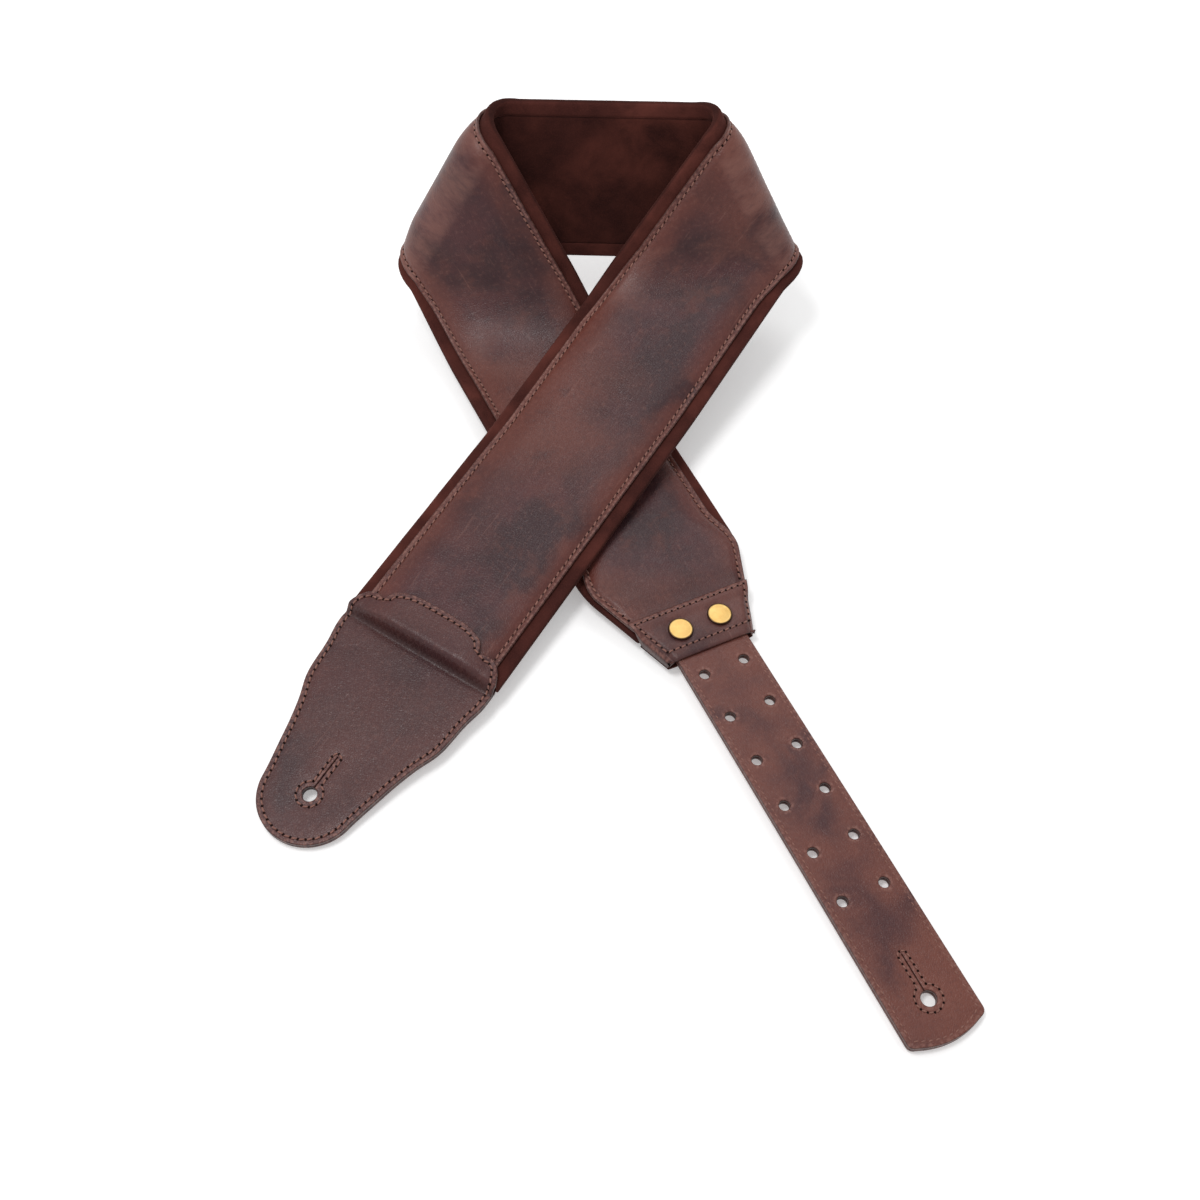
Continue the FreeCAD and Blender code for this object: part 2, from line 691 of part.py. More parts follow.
def snap_stud(x, y):
    """Flange on the backing and a stem that stands up through a hole of the tail."""
    flange = Part.makeCylinder(STUD_FLANGE / 2, STUD_FLANGE_HEIGHT, V(x, y, SUEDE))
    top = SOCKET_BASE + SOCKET_HEIGHT - 0.25 - SNAP_CLEARANCE
    stem = Part.makeCylinder(STUD_DIAMETER / 2, top - SUEDE, V(x, y, SUEDE))
    return lay_flat(flange.fuse(stem), POCKET_LEG)


def snap_post(x, y):
    """Eyelet on the suede side, clamped through the backing."""
    flange = Part.makeCylinder(POST_DIAMETER / 2, POST_HEIGHT, V(x, y, -POST_HEIGHT))
    neck = Part.makeCylinder(STUD_DIAMETER / 2 - 0.1, SUEDE, V(x, y, 0))
    return lay_flat(flange.fuse(neck), POCKET_LEG)


# ---- end tab (x = s runs negative, towards the tip) ------------------------------------------------------
TAB_TIP = -(TAB_LEG + TAB_LENGTH)
TAB_HOLE_S = TAB_TIP + TAB_TIP_RADIUS
TAB_BASE = TAB_LIFT + TAB_BACK_LAYER + LAYER_GAP
# (distance from the button hole towards the body, half width), shoulder to neck
TAB_FLANK = [(13.0, 1.13), (26.0, 1.25), (37.0, 1.38), (48.0, 1.55)]


def tab_flank():
    """Half outline from the tip round the end and up the neck to the shoulder, t > 0."""
    r = TAB_TIP_RADIUS
    tip = [(TAB_HOLE_S - r * math.cos(rad(x)), r * math.sin(rad(x))) for x in spread(0, 84, 13)]
    run = [(TAB_HOLE_S + x, r * k) for x, k in TAB_FLANK]
    start = -TAB_LEG
    run += [(start - 22, TAB_SHOULDER - 2.2), (start - 12, TAB_SHOULDER - 0.3), (start, TAB_SHOULDER)]
    return tip + run


def bracket():
    """Half of the scalloped edge, from the middle out to the side, t > 0."""
    top = -TAB_LEG
    notch, t = top + BRACKET_NOTCH, BRACKET_NOTCH_T
    mid = [(top + BRACKET_DEPTH - (BRACKET_DEPTH - BRACKET_NOTCH - 5.5) * (x / (t - 2.5)) ** 4, x)
           for x in spread(0, t - 2.5, 10)]
    mid += [(notch + 2.0, t - 0.7), (notch, t)]
    side = TAB_SHOULDER - 1.0
    lobe = [(notch, t), (top + BRACKET_LOBE - 0.5, t + 3.0), (top + BRACKET_LOBE, t + 6.5),
            (top + BRACKET_LOBE - 1.8, side - 4.0), (top + 4.0, side - 0.8), (top, TAB_SHOULDER)]
    return mid, lobe


def tab_height(s, t):
    """Underside of the front layer: over the padding, then down to the back layer."""
    inner = min(abs(t), HALF - BORDER - 0.3)
    over = panel_under(-TAB_LEG, inner) + LEATHER + GLUE
    outside = max(0.0, abs(t) - inner)
    over -= 0.30 * outside
    down = ease((-TAB_LEG - 0.6 - s) / TAB_DROP)
    return over + (TAB_BASE - over) * down


def tab_front():
    w = HALF + 4
    run = spread(TAB_TIP - 3, -TAB_LEG - 14, 12)[:-1] + spread(-TAB_LEG - 14, -TAB_LEG + 4, 13)
    run += spread(-TAB_LEG + 7, -TAB_LEG + BRACKET_DEPTH + 4, 5)

    def columns(lift, way):
        def at(s):
            ts = spread(-w, w, 21)
            pts = [(t, tab_height(s, t) + lift) for t in ts]
            return pts if way > 0 else pts[::-1]
        return at

    low, high = columns(0.0, 1), columns(TAB_FRONT_LAYER, -1)
    sheet = tube(run, [low, lambda s: [low(s)[-1], high(s)[0]], high, lambda s: [high(s)[-1], low(s)[0]]],
                 place=V)
    flank = mirrored(tab_flank())
    mid, lobe = bracket()
    mid = mirrored(mid)
    edges = [curve_edge(flank, -10), curve_edge(lobe, -10), curve_edge(mid, -10),
             curve_edge([(x, -y) for x, y in lobe], -10)]
    outline = Part.Face(Part.Wire(Part.__sortEdges__(edges))).extrude(V(0, 0, 40))
    solid = sheet.common(outline).cut(keyhole(TAB_HOLE_S, 1, -20, 40))
    return lay_flat(solid, -TAB_LEG)


def tab_back():
    flank = mirrored(tab_flank())
    start = -TAB_LEG - GLUE
    flank = [p for p in flank if p[0] < start - 2]
    w = flank[-1][1]
    flank = [(start, flank[0][1] - 0.1)] + flank + [(start, w + 0.1)]
    edges = [curve_edge(flank), Part.makeLine(V(start, flank[0][1], 0), V(start, flank[-1][1], 0))]
    face = Part.Face(Part.Wire(Part.__sortEdges__(edges)))
    solid = face.extrude(V(0, 0, TAB_BACK_LAYER))
    solid.translate(V(0, 0, TAB_LIFT))
    solid = solid.cut(keyhole(TAB_HOLE_S, 1, -20, 40))
    return lay_flat(solid, -TAB_LEG)


def tab_thread(run, closed=False):
    """Thread on top of the front layer."""
    top = TAB_BASE + TAB_FRONT_LAYER
    return lay_flat(ribbon(run, THREAD_WIDTH, top, top + THREAD_HEIGHT, closed), -TAB_LEG)


def tab_seam():
    run = mirrored(tab_flank())
    run = [p for p in run if p[0] < -TAB_LEG - TAB_DROP - 2]
    return tab_thread(inset_run(run, -TAB_SEAM_INSET))


def tab_keyhole_seam():
    return tab_thread(keyhole_seam_run(TAB_HOLE_S, 1), closed=True)


def tab_bracket_seam():
    """Thread that follows the scalloped edge, laid on the front layer over the padding."""
    mid, lobe = bracket()
    run = inset_run(mirrored(mid), TAB_SEAM_INSET)
    run = [p for p in run if abs(p[1]) < BRACKET_NOTCH_T - 4]
    runs = [run]
    for way in (-1, 1):
        part = [(x - TAB_SEAM_INSET, way * y) for x, y in lobe[1:-1]]
        runs.append(part)
    threads = []
    for part in runs:
        tall = ribbon(part, THREAD_WIDTH, 0, 40)
        w = HALF + 4
        span = spread(-TAB_LEG + 0.5, -TAB_LEG + BRACKET_DEPTH + 4, 8)

        def columns(lift, way):
            def at(s):
                pts = [(t, tab_height(s, t) + TAB_FRONT_LAYER + lift) for t in spread(-w, w, 21)]
                return pts if way > 0 else pts[::-1]
            return at

        low, high = columns(0.02, 1), columns(THREAD_HEIGHT, -1)
        skin = tube(span, [low, lambda s: [low(s)[-1], high(s)[0]], high,
                           lambda s: [high(s)[-1], low(s)[0]]], place=V)
        threads.append(tall.common(skin))
    return lay_flat(Part.makeCompound(threads), -TAB_LEG)


def build():
    (xa, ya), (xb, yb) = snap_places()
    return {
        "front_leather": front_leather(),
        "foam_padding": foam_padding(),
        "suede_backing": suede_backing(),
        "edge_binding_left": edge_binding(-1),
        "edge_binding_right": edge_binding(1),
        "body_seam_left": body_seam(-1),
        "body_seam_right": body_seam(1),
        "pocket_lining": pocket_lining(),
        "mouth_band": mouth_band(),
        "band_seam": band_seam(),
        "snap_cap_left": snap_cap(xb, yb),
        "snap_cap_right": snap_cap(xa, ya),
        "snap_socket_left": snap_socket(xb, yb),
        "snap_socket_right": snap_socket(xa, ya),
        "snap_stud_left": snap_stud(xb, yb),
        "snap_stud_right": snap_stud(xa, ya),
        "snap_post_left": snap_post(xb, yb),
        "snap_post_right": snap_post(xa, ya),
        "tail_front": tail_layer(TAIL_BASE + TAIL_LAYER + LAYER_GAP),
        "tail_back": tail_layer(TAIL_BASE),
        "tail_seam": tail_seam(),
        "tail_keyhole_seam": tail_keyhole_seam(),
        "tab_front": tab_front(),
        "tab_back": tab_back(),
        "tab_seam": tab_seam(),
        "tab_bracket_seam": tab_bracket_seam(),
        "tab_keyhole_seam": tab_keyhole_seam(),
    }


def to_rest(shapes):
    """Shift that brings the middle of the underside of the whole lay to the origin."""
    box = FreeCAD.BoundBox()
    for shape in shapes.values():
        for point in shape.tessellate(0.05)[0]:
            box.add(point)
    return V(-box.Center.x, -box.Center.y, -box.ZMin), box


def main():
    shapes = build()
    shift, box = to_rest(shapes)
    os.makedirs("parts", exist_ok=True)
    for name, shape in shapes.items():
        shape.translate(shift)
        shape.exportStep(f"parts/{name}.step")
        print(f"{name:20s} valid {shape.isValid()} solids {len(shape.Solids)} volume {shape.Volume:9.1f}")
    print("shift", shift, "size", box.XLength, box.YLength, box.ZLength)


if __name__ == "__main__":
    main()
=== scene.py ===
import json
import math

import bmesh
import bpy
import numpy as np
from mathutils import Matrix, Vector
from mathutils.geometry import delaunay_2d_cdt


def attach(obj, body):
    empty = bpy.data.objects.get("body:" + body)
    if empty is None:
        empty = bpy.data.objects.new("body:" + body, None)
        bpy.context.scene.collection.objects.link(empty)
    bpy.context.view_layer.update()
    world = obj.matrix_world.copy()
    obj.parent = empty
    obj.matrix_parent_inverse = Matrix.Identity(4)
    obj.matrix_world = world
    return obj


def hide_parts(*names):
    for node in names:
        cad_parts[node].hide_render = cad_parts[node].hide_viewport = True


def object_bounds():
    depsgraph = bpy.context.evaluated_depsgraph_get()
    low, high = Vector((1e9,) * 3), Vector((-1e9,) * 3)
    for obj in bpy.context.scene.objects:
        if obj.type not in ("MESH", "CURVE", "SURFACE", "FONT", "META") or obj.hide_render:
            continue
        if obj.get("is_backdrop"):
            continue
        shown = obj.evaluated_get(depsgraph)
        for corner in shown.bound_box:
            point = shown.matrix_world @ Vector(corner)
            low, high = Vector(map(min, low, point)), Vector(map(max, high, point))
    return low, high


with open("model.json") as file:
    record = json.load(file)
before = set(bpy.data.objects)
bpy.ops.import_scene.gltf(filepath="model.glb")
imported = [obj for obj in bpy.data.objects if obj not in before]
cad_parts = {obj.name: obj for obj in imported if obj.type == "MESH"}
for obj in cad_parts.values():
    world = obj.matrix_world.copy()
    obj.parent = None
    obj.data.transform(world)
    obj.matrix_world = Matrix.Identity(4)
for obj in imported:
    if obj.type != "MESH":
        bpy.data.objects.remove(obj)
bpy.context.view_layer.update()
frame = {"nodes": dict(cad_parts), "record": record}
MM = 0.001
NORMAL_REACH = 1.5        # the sheet's slope is taken over twice this
EDGE_REACH = 25.0         # the edge attribute goes from 0 at a cut edge to 1 this far in
RANDOM = np.random.default_rng(7)

# ---- sizes of the strap, as it was cut (millimetres) ----
BODY_WIDTH, TAB_LEG, POCKET_LEG = 90.0, 439.6, 376.0
MOUTH_WIDTH, TAPER_LENGTH, TAPER_BLEND = 49.0, 55.0, 9.0
SUEDE, EDGE_THICKNESS, LEATHER = 1.2, 5.2, 2.0
BORDER, BORDER_BACK, BIND_LIP, BORDER_AT_TAPER = 6.5, 8.3, 4.5, 0.6
PAD_RISE, PAD_SHOULDER, GLUE, SEAM_INSET = 3.0, 16.0, 0.3, 3.0
TAIL_WIDTH, TAIL_END, TAIL_END_CROWN, TAIL_CORNER = 39.5, 594.0, 5.0, 3.5
TAIL_LAYER, LAYER_GAP, TAIL_LIFT, TAIL_TOP_GAP = 2.1, 0.1, 1.1, 0.3
HOLE_DIAMETER, HOLE_PITCH, HOLE_ROWS, HOLE_PAIRS = 5.2, 26.2, 22.2, 7
TAIL_INNER_MARGIN, LINING, LINING_END = 8.6, 0.8, 333.0
SNAP_FROM_MOUTH, BAND_LENGTH, BAND_THICKNESS, BAND_WALL = 13.4, 27.0, 1.8, 2.0
CAP_DIAMETER, CAP_HEIGHT, SOCKET_DIAMETER, SOCKET_HEIGHT, SNAP_CLEARANCE = 12.8, 1.3, 9.8, 1.15, 0.2
TAB_LENGTH, TAB_TIP_RADIUS, TAB_SHOULDER = 116.6, 25.2, 44.0
TAB_BACK_LAYER, TAB_FRONT_LAYER, TAB_LIFT, TAB_DROP = 2.0, 2.2, 0.4, 3.6
BRACKET_DEPTH, BRACKET_LOBE, BRACKET_NOTCH, BRACKET_NOTCH_T = 18.7, 10.3, 8.6, 28.5
BUTTON_HOLE, SLIT_LENGTH, SLIT_WIDTH = 7.2, 22.0, 0.25
KEYHOLE_SEAM, KEYHOLE_SEAM_SLIT, TAIL_HOLE_FROM_END = 2.9, 2.3, 20.0
TAIL_SEAM_INSET, TAB_SEAM_INSET = 2.5, 2.8
BAND_YAW, BAND_TILT, BAND_ROLL = -3.25, 72.86, -1.19
TAB_SIDE_BENDS = [(-106.1, 26.98, 168.3, 7.14, -1), (-143.9, -40.74, 55.44, 43.17, 1),
                  (-278.7, -34.48, 6.6, 152.7, 1)]
TAIL_SIDE_BENDS = [(38.8, -31.2, 177.8, 8.07, -1), (87.2, 32.74, 72.43, 68.23, 1)]

HALF = BODY_WIDTH / 2
TAIL_BASE = SUEDE + TAIL_LIFT
TAIL_TOP = TAIL_BASE + 2 * TAIL_LAYER + LAYER_GAP
PANEL_AT_EDGE = EDGE_THICKNESS + GLUE
PANEL_AT_MOUTH = TAIL_TOP + TAIL_TOP_GAP
LINING_OVER_TAIL = LINING + GLUE + 0.05
BINDING_END = POCKET_LEG - 20.0
BAND_START = POCKET_LEG - BAND_LENGTH
PANEL_END = BAND_START + 4.0
SNAP_S = POCKET_LEG - SNAP_FROM_MOUTH
TAIL_START = SNAP_S - TAIL_INNER_MARGIN
TAIL_HOLE_S = TAIL_END - TAIL_HOLE_FROM_END
TAB_TIP = -(TAB_LEG + TAB_LENGTH)
TAB_HOLE_S = TAB_TIP + TAB_TIP_RADIUS
TAB_BASE = TAB_LIFT + TAB_BACK_LAYER + LAYER_GAP
BAND_AT_TOP = PANEL_AT_MOUTH + LEATHER + GLUE
BAND_AT_SNAP = TAIL_TOP + SNAP_CLEARANCE + SOCKET_HEIGHT + SNAP_CLEARANCE
BAND_AT_MOUTH = TAIL_TOP + 0.4


# ---- how the flat strap is laid in space ----
def turn_about(axis, degrees):
    """Rotation matrix about a row axis."""
    c, s = math.cos(math.radians(degrees)), math.sin(math.radians(degrees))
    i, j = {"x": (1, 2), "y": (2, 0), "z": (0, 1)}[axis]
    m = np.eye(3)
    m[i, i] = m[j, j] = c
    m[i, j], m[j, i] = -s, s
    return m


STANCE = turn_about("z", BAND_YAW) @ turn_about("y", BAND_ROLL) @ turn_about("x", BAND_TILT) \
    @ turn_about("y", 180)


def carry(bend, way, flat, now):
    """Wraps what lies beyond a skewed line round a cylinder, and carries on straight past it."""
    s, skew, turn, radius, side = bend
    k, turn = math.radians(skew), math.radians(turn)
    origin = np.array([s, 0.0, 0.0])
    across = np.array([math.cos(k), -math.sin(k), 0.0]) * way
    along = np.array([math.sin(k), math.cos(k), 0.0])
    u = (flat - origin) @ across
    rel = now - origin
    r = radius - side * rel[..., 2]
    angle = np.clip(u / radius, 0, turn)
    past = rel @ across - np.minimum(u, radius * turn)
    a = r * np.sin(angle) + past * np.cos(angle)
    h = side * (radius - r * np.cos(angle) + past * np.sin(angle))
    bent = origin + a[..., None] * across + (rel @ along)[..., None] * along
    bent = bent + h[..., None] * np.array([0.0, 0.0, 1.0])
    return np.where((u > 0)[..., None], bent, now)


def fold_sheet(s, t):
    """Where the middle sheet of the strap goes, for arrays of s and t."""
    flat = np.stack([s, t, np.full_like(s, EDGE_THICKNESS)], -1)
    now = flat
    for bend in reversed(TAB_SIDE_BENDS):
        now = carry(bend, -1, flat, now)
    for bend in reversed(TAIL_SIDE_BENDS):
        now = carry(bend, 1, flat, now)
    return now @ STANCE.T


def unit(v):
    """Vectors divided by their lengths."""
    return v / np.maximum(np.linalg.norm(v, axis=-1, keepdims=True), 1e-12)


def sheet_normal(s, t):
    """The cross product of the sheet's slopes along and across, made one long."""
    d = NORMAL_REACH
    along = fold_sheet(s + d, t) - fold_sheet(s - d, t)
    across = fold_sheet(s, t + d) - fold_sheet(s, t - d)
    return unit(np.cross(along, across))


def lay(s, t, n):
    """Points of the flat strap in space, in metres: heights stand square to the bent middle sheet."""
    s, t, n = np.broadcast_arrays(*(np.asarray(x, float) for x in (s, t, n)))
    point = fold_sheet(s, t) + sheet_normal(s, t) * (n - EDGE_THICKNESS)[..., None]
    return point * MM + SHIFT


SHIFT = np.zeros(3)     # until the button hole below says where the strap lies
tab_mount = next(m for m in frame["record"]["mounts"] if m["name"] == "tab_button_hole")
tab_middle = TAB_LIFT + (TAB_BASE + TAB_FRONT_LAYER - TAB_LIFT) / 2
SHIFT = np.array(tab_mount["pos_m"]) - lay(TAB_HOLE_S, 0.0, tab_middle)


# ---- mesh helpers ----
def make_object(name, verts, faces, uv=None, attributes=None, smooth=True):
    """Mesh object at the origin from arrays; uv is per vertex, attributes are per-vertex numbers."""
    mesh = bpy.data.meshes.new(name)
    mesh.from_pydata(np.asarray(verts).tolist(), [], [list(map(int, f)) for f in faces])
    mesh.validate()
    if uv is not None:
        layer = mesh.uv_layers.new(name="flat")
        index = np.zeros(len(mesh.loops), np.int32)
        mesh.loops.foreach_get("vertex_index", index)
        layer.data.foreach_set("uv", np.asarray(uv, np.float32)[index].ravel())
    for key, values in (attributes or {}).items():
        data = mesh.attributes.new(key, "FLOAT", "POINT")
        data.data.foreach_set("value", np.asarray(values, np.float32).ravel())
    mesh.polygons.foreach_set("use_smooth", np.full(len(mesh.polygons), smooth))
    mesh.update()
    piece = bpy.data.objects.new(name, mesh)
    bpy.context.scene.collection.objects.link(piece)
    return piece


def grid_faces(rows, columns, wrap_columns=False, offset=0):
    """Quads of a rows by columns grid of vertices, its last column joined to its first if wrapped."""
    i, j = np.meshgrid(np.arange(rows - 1), np.arange(columns if wrap_columns else columns - 1),
                       indexing="ij")
    k = (j + 1) % columns
    quads = np.stack([i * columns + j, (i + 1) * columns + j, (i + 1) * columns + k, i * columns + k], -1)
    return quads.reshape(-1, 4) + offset


def end_faces(rows, columns):
    """The faces that close the first and the last ring of a wrapped grid."""
    last = (rows - 1) * columns
    return [list(range(columns)), list(range(last, last + columns))[::-1]]


def ring_tube(name, s, t, n, attributes):
    """Closed body from rings: rows along the strap, columns round the section, both ends closed."""
    rows, columns = t.shape
    s = np.broadcast_to(s[:, None], t.shape)
    verts = lay(s, t, n)
    faces = grid_faces(rows, columns, True)[:, ::-1].tolist() + end_faces(rows, columns)
    uv = np.stack([s, t], -1) * MM
    flat = {k: np.broadcast_to(v, t.shape).ravel() for k, v in attributes.items()}
    piece = make_object(name, verts.reshape(-1, 3), faces, uv.reshape(-1, 2), flat)
    fix_normals(piece)
    return piece


def fix_normals(piece, merge=None):
    """Faces turned outwards, once the vertices closer than the merge distance are joined."""
    mesh = bmesh.new()
    mesh.from_mesh(piece.data)
    if merge:
        bmesh.ops.remove_doubles(mesh, verts=mesh.verts, dist=merge)
    bmesh.ops.recalc_face_normals(mesh, faces=mesh.faces)
    mesh.to_mesh(piece.data)
    mesh.free()


# ---- the section of the body ----
def ease(x):
    """Soft step from 0 to 1: three x squared less two x cubed."""
    x = np.clip(x, 0, 1)
    return x * x * (3 - 2 * x)


def half_width(s):
    """Half the width of the body, with the taper to the mouth starting in a soft corner."""
    x = np.asarray(s, float) - (POCKET_LEG - TAPER_LENGTH)
    slope = (HALF - MOUTH_WIDTH / 2) / TAPER_LENGTH
    soft = TAPER_BLEND
    drop = np.where(x > soft, x, np.where(x > -soft, (x + soft) ** 2 / (4 * soft), 0.0))
    return HALF - slope * drop


def taper_part(s):
    """From 0 on the body to 1 along the taper."""
    return ease((np.asarray(s, float) - (POCKET_LEG - TAPER_LENGTH - 22)) / 30)


def border(s, t=0.0):
    """Suede left showing beside the leather, which is pulled out to the edge where the strap folds."""
    s, t = np.asarray(s, float), np.asarray(t, float)
    pulled = np.exp(-((s - 80) / 26) ** 4) + np.exp(-((s + 140) / 26) ** 4)
    return BORDER + (BORDER_AT_TAPER - BORDER) * taper_part(s) - 1.8 * pulled * (t < 0)


def panel_under(s, t):
    """Underside of the leather panel: low at its seam, lifted by the pad between the seams."""
    s = np.asarray(s, float)
    pocket = taper_part(s + 6)
    edge = PANEL_AT_EDGE + (PANEL_AT_MOUTH - PANEL_AT_EDGE) * pocket
    rise = PAD_RISE * (1 - pocket) + LINING_OVER_TAIL * pocket * (1 - ease((s - LINING_END) / 14))
    shoulder = PAD_SHOULDER * (1 - 0.7 * pocket)
    x = np.clip((half_width(s) - np.abs(t) - border(s, t) - SEAM_INSET) / shoulder, 0, 1)
    return edge + rise * (1 - (1 - x) ** 2)


def wander(s, t, scale, seed):
    """Smooth unevenness: a sum of sine waves of random direction and phase, from -1 to 1."""
    rng = np.random.default_rng(seed)
    total = 0.0
    for _ in range(7):
        angle, phase = rng.uniform(0, 2 * math.pi), rng.uniform(0, 6.28)
        size = scale * rng.uniform(0.6, 1.6)
        total = total + np.sin((s * math.cos(angle) + t * math.sin(angle)) * 2 * math.pi / size + phase)
    return total / 4.0


def body_stations(start, end, step=1.7):
    """Evenly spaced places along the strap."""
    return np.linspace(start, end, int((end - start) / step) + 1)


def fold_amount(s, t):
    """How sharply the sheet turns near a point, from 0 on the flat to 1 at a tight fold."""
    d = 2.0
    a, b = sheet_normal(s + d, t), sheet_normal(s - d, t)
    return np.clip(np.linalg.norm(a - b, axis=-1) / 0.35, 0, 1)


def leather_panel():
    """Leather face: a crowned top that dips along its seams, rounded cut edges and a flat back."""
    s = body_stations(-TAB_LEG, PANEL_END)
    s_row = s[:, None]
    w, w_low = half_width(s_row) - border(s_row, 1.0), half_width(s_row) - border(s_row, -1.0)
    across = np.sin(np.linspace(-1.36, 1.36, 73))[None, :] / math.sin(1.36)
    r = 0.75
    reach = np.where(across > 0, w, w_low)
    t_top = across * (reach - r)
    under = panel_under(s_row, t_top)
    inside = reach - np.abs(t_top)
    seam = np.exp(-((inside - SEAM_INSET) / 1.5) ** 2)
    curl = np.exp(-(inside / 1.6) ** 2)
    n_top = under + LEATHER - 0.55 * seam - 0.15 * curl
    n_top = n_top + 0.22 * wander(s[:, None], t_top, 46.0, 3) * ease((inside - 4) / 12)
    # rounded edges: quarter turns from the top to the side and from the side to the back
    quarter = np.linspace(0, math.pi / 2, 4)[1:]

    def side(width):
        edge_n = panel_under(s_row, width)
        t = np.concatenate([width - r + r * np.sin(quarter), width + 0 * quarter[:2] - [[0.0, 0.25]]], 1)
        n = np.concatenate([edge_n + LEATHER - 0.15 - r * (1 - np.cos(quarter)), edge_n + [[0.7, 0.25]]], 1)
        return t, n

    (t_right, n_right), (t_left, n_left) = side(w), side(w_low)
    t_back = (across * (reach - 0.6))[:, ::-6]
    n_back = panel_under(s_row, t_back)
    t = np.concatenate([t_top, t_right, t_back, -t_left[:, ::-1]], 1)
    n = np.concatenate([n_top, n_right, n_back, n_left[:, ::-1]], 1)
    edge = np.clip((np.where(t > 0, w, w_low) - np.abs(t)) / EDGE_REACH, 0, 1)
    edge[:, 73:] = 0.0
    fold = fold_amount(np.broadcast_to(s[:, None], t.shape), t)
    return ring_tube("leather_panel", s, t, n, {"edge": edge, "fold": fold})


def suede_edge(way, name):
    """Suede rolled round the strap's edge: a half round outside, turned in over and under the pad."""
    s = body_stations(-TAB_LEG, BINDING_END, 1.9)
    h = half_width(s)[:, None]
    r = EDGE_THICKNESS / 2
    ri = r - SUEDE
    lip = np.minimum(BORDER + BIND_LIP, h - TAIL_WIDTH / 2 - 1.2)
    turn = np.linspace(-math.pi / 2, math.pi / 2, 11)
    one = np.ones_like(h)
    plump = 0.25 * (1 - taper_part(s))[:, None]
    a_out = np.concatenate([BORDER_BACK * one, 6.6 * one, 4.5 * one,
                            r - (r + plump * 0.4) * np.cos(turn) * one, 0.5 * (lip + r), lip], 1)
    n_out = np.concatenate([0.25 * one, 0.02 * one, -0.0 * one, r + (r + plump * np.cos(turn) ** 2)
                            * np.sin(turn) * one, EDGE_THICKNESS * one, EDGE_THICKNESS * one], 1)
    a_in = np.concatenate([lip, 0.5 * (lip + r), r - ri * np.cos(turn[::-2]) * one, BORDER_BACK * one], 1)
    n_in = np.concatenate([(EDGE_THICKNESS - SUEDE) * one, (EDGE_THICKNESS - SUEDE) * one,
                           r + ri * np.sin(turn[::-2]) * one, SUEDE * one], 1)
    a, n = np.concatenate([a_out, a_in], 1), np.concatenate([n_out, n_in], 1)
    t = way * (h - a)
    # the roll is drawn in a little by every stitch and by folds
    ripple = 0.12 * wander(s[:, None], 0 * h + way * 31, 17.0, 5 + way)
    n = n + ripple * (n > EDGE_THICKNESS * 0.6)
    edge = np.clip(a / EDGE_REACH, 0, 1)
    return ring_tube(name, s, t, n, {"edge": edge})


def suede_lining():
    """Flat suede on the wearer's side, its edges turned down into the seam beside the rolled edges."""
    inset = BORDER_BACK + 0.05
    s = body_stations(-TAB_LEG, POCKET_LEG, 2.2)
    at_end = ease((s - (BINDING_END - 2)) / 4)
    w = (half_width(s) - inset * (1 - at_end) - 0.3 * at_end)[:, None]
    across = np.sin(np.linspace(-1.4, 1.4, 41)) / math.sin(1.4)
    t0 = across[None, :] * w
    inside = w - np.abs(t0)
    dip = 0.45 * np.exp(-(inside / 0.9) ** 2)
    swell = -0.35 * ease(inside / 9) * (1 - taper_part(s + 20))[:, None]
    n0 = dip + swell + 0.12 * wander(s[:, None], t0, 30.0, 9) * ease(inside / 6)
    n0 = np.maximum(n0, -0.6)
    t1 = t0[:, ::-1]
    t = np.concatenate([t0, t1], 1)
    n = np.concatenate([n0, np.full_like(t1, SUEDE)], 1)
    edge = np.clip((w - np.abs(t)) / EDGE_REACH, 0, 1)
    return ring_tube("suede_lining", s, t, n, {"edge": edge})


# ---- runs of thread ----
def resample(points, step):
    """Points evenly spaced along a run of points."""
    points = np.asarray(points, float)
    gaps = np.linalg.norm(np.diff(points, axis=0), axis=1)
    length = np.concatenate([[0], np.cumsum(gaps)])
    count = max(2, int(round(length[-1] / step)) + 1)
    at = np.linspace(0, length[-1], count)
    return np.stack([np.interp(at, length, points[:, i]) for i in range(points.shape[1])], 1)


def inset_run(points, distance):
    """Run moved sideways, to the left of the way it goes."""
    points = np.asarray(points, float)
    way = np.gradient(points, axis=0)
    way = way / np.maximum(np.linalg.norm(way, axis=1, keepdims=True), 1e-9)
    return points + distance * np.stack([-way[:, 1], way[:, 0]], 1)


def seam_points(run, height):
    """Run of (s, t) on a surface of the given height, as points and normals in space, in metres."""
    s, t = run[:, 0], run[:, 1]
    n = height(s, t)
    d = 0.5
    p = lay(s, t, n)
    along = lay(s + d, t, height(s + d, t)) - lay(s - d, t, height(s - d, t))
    across = lay(s, t + d, height(s, t + d)) - lay(s, t - d, height(s, t - d))
    return p, unit(np.cross(along, across))


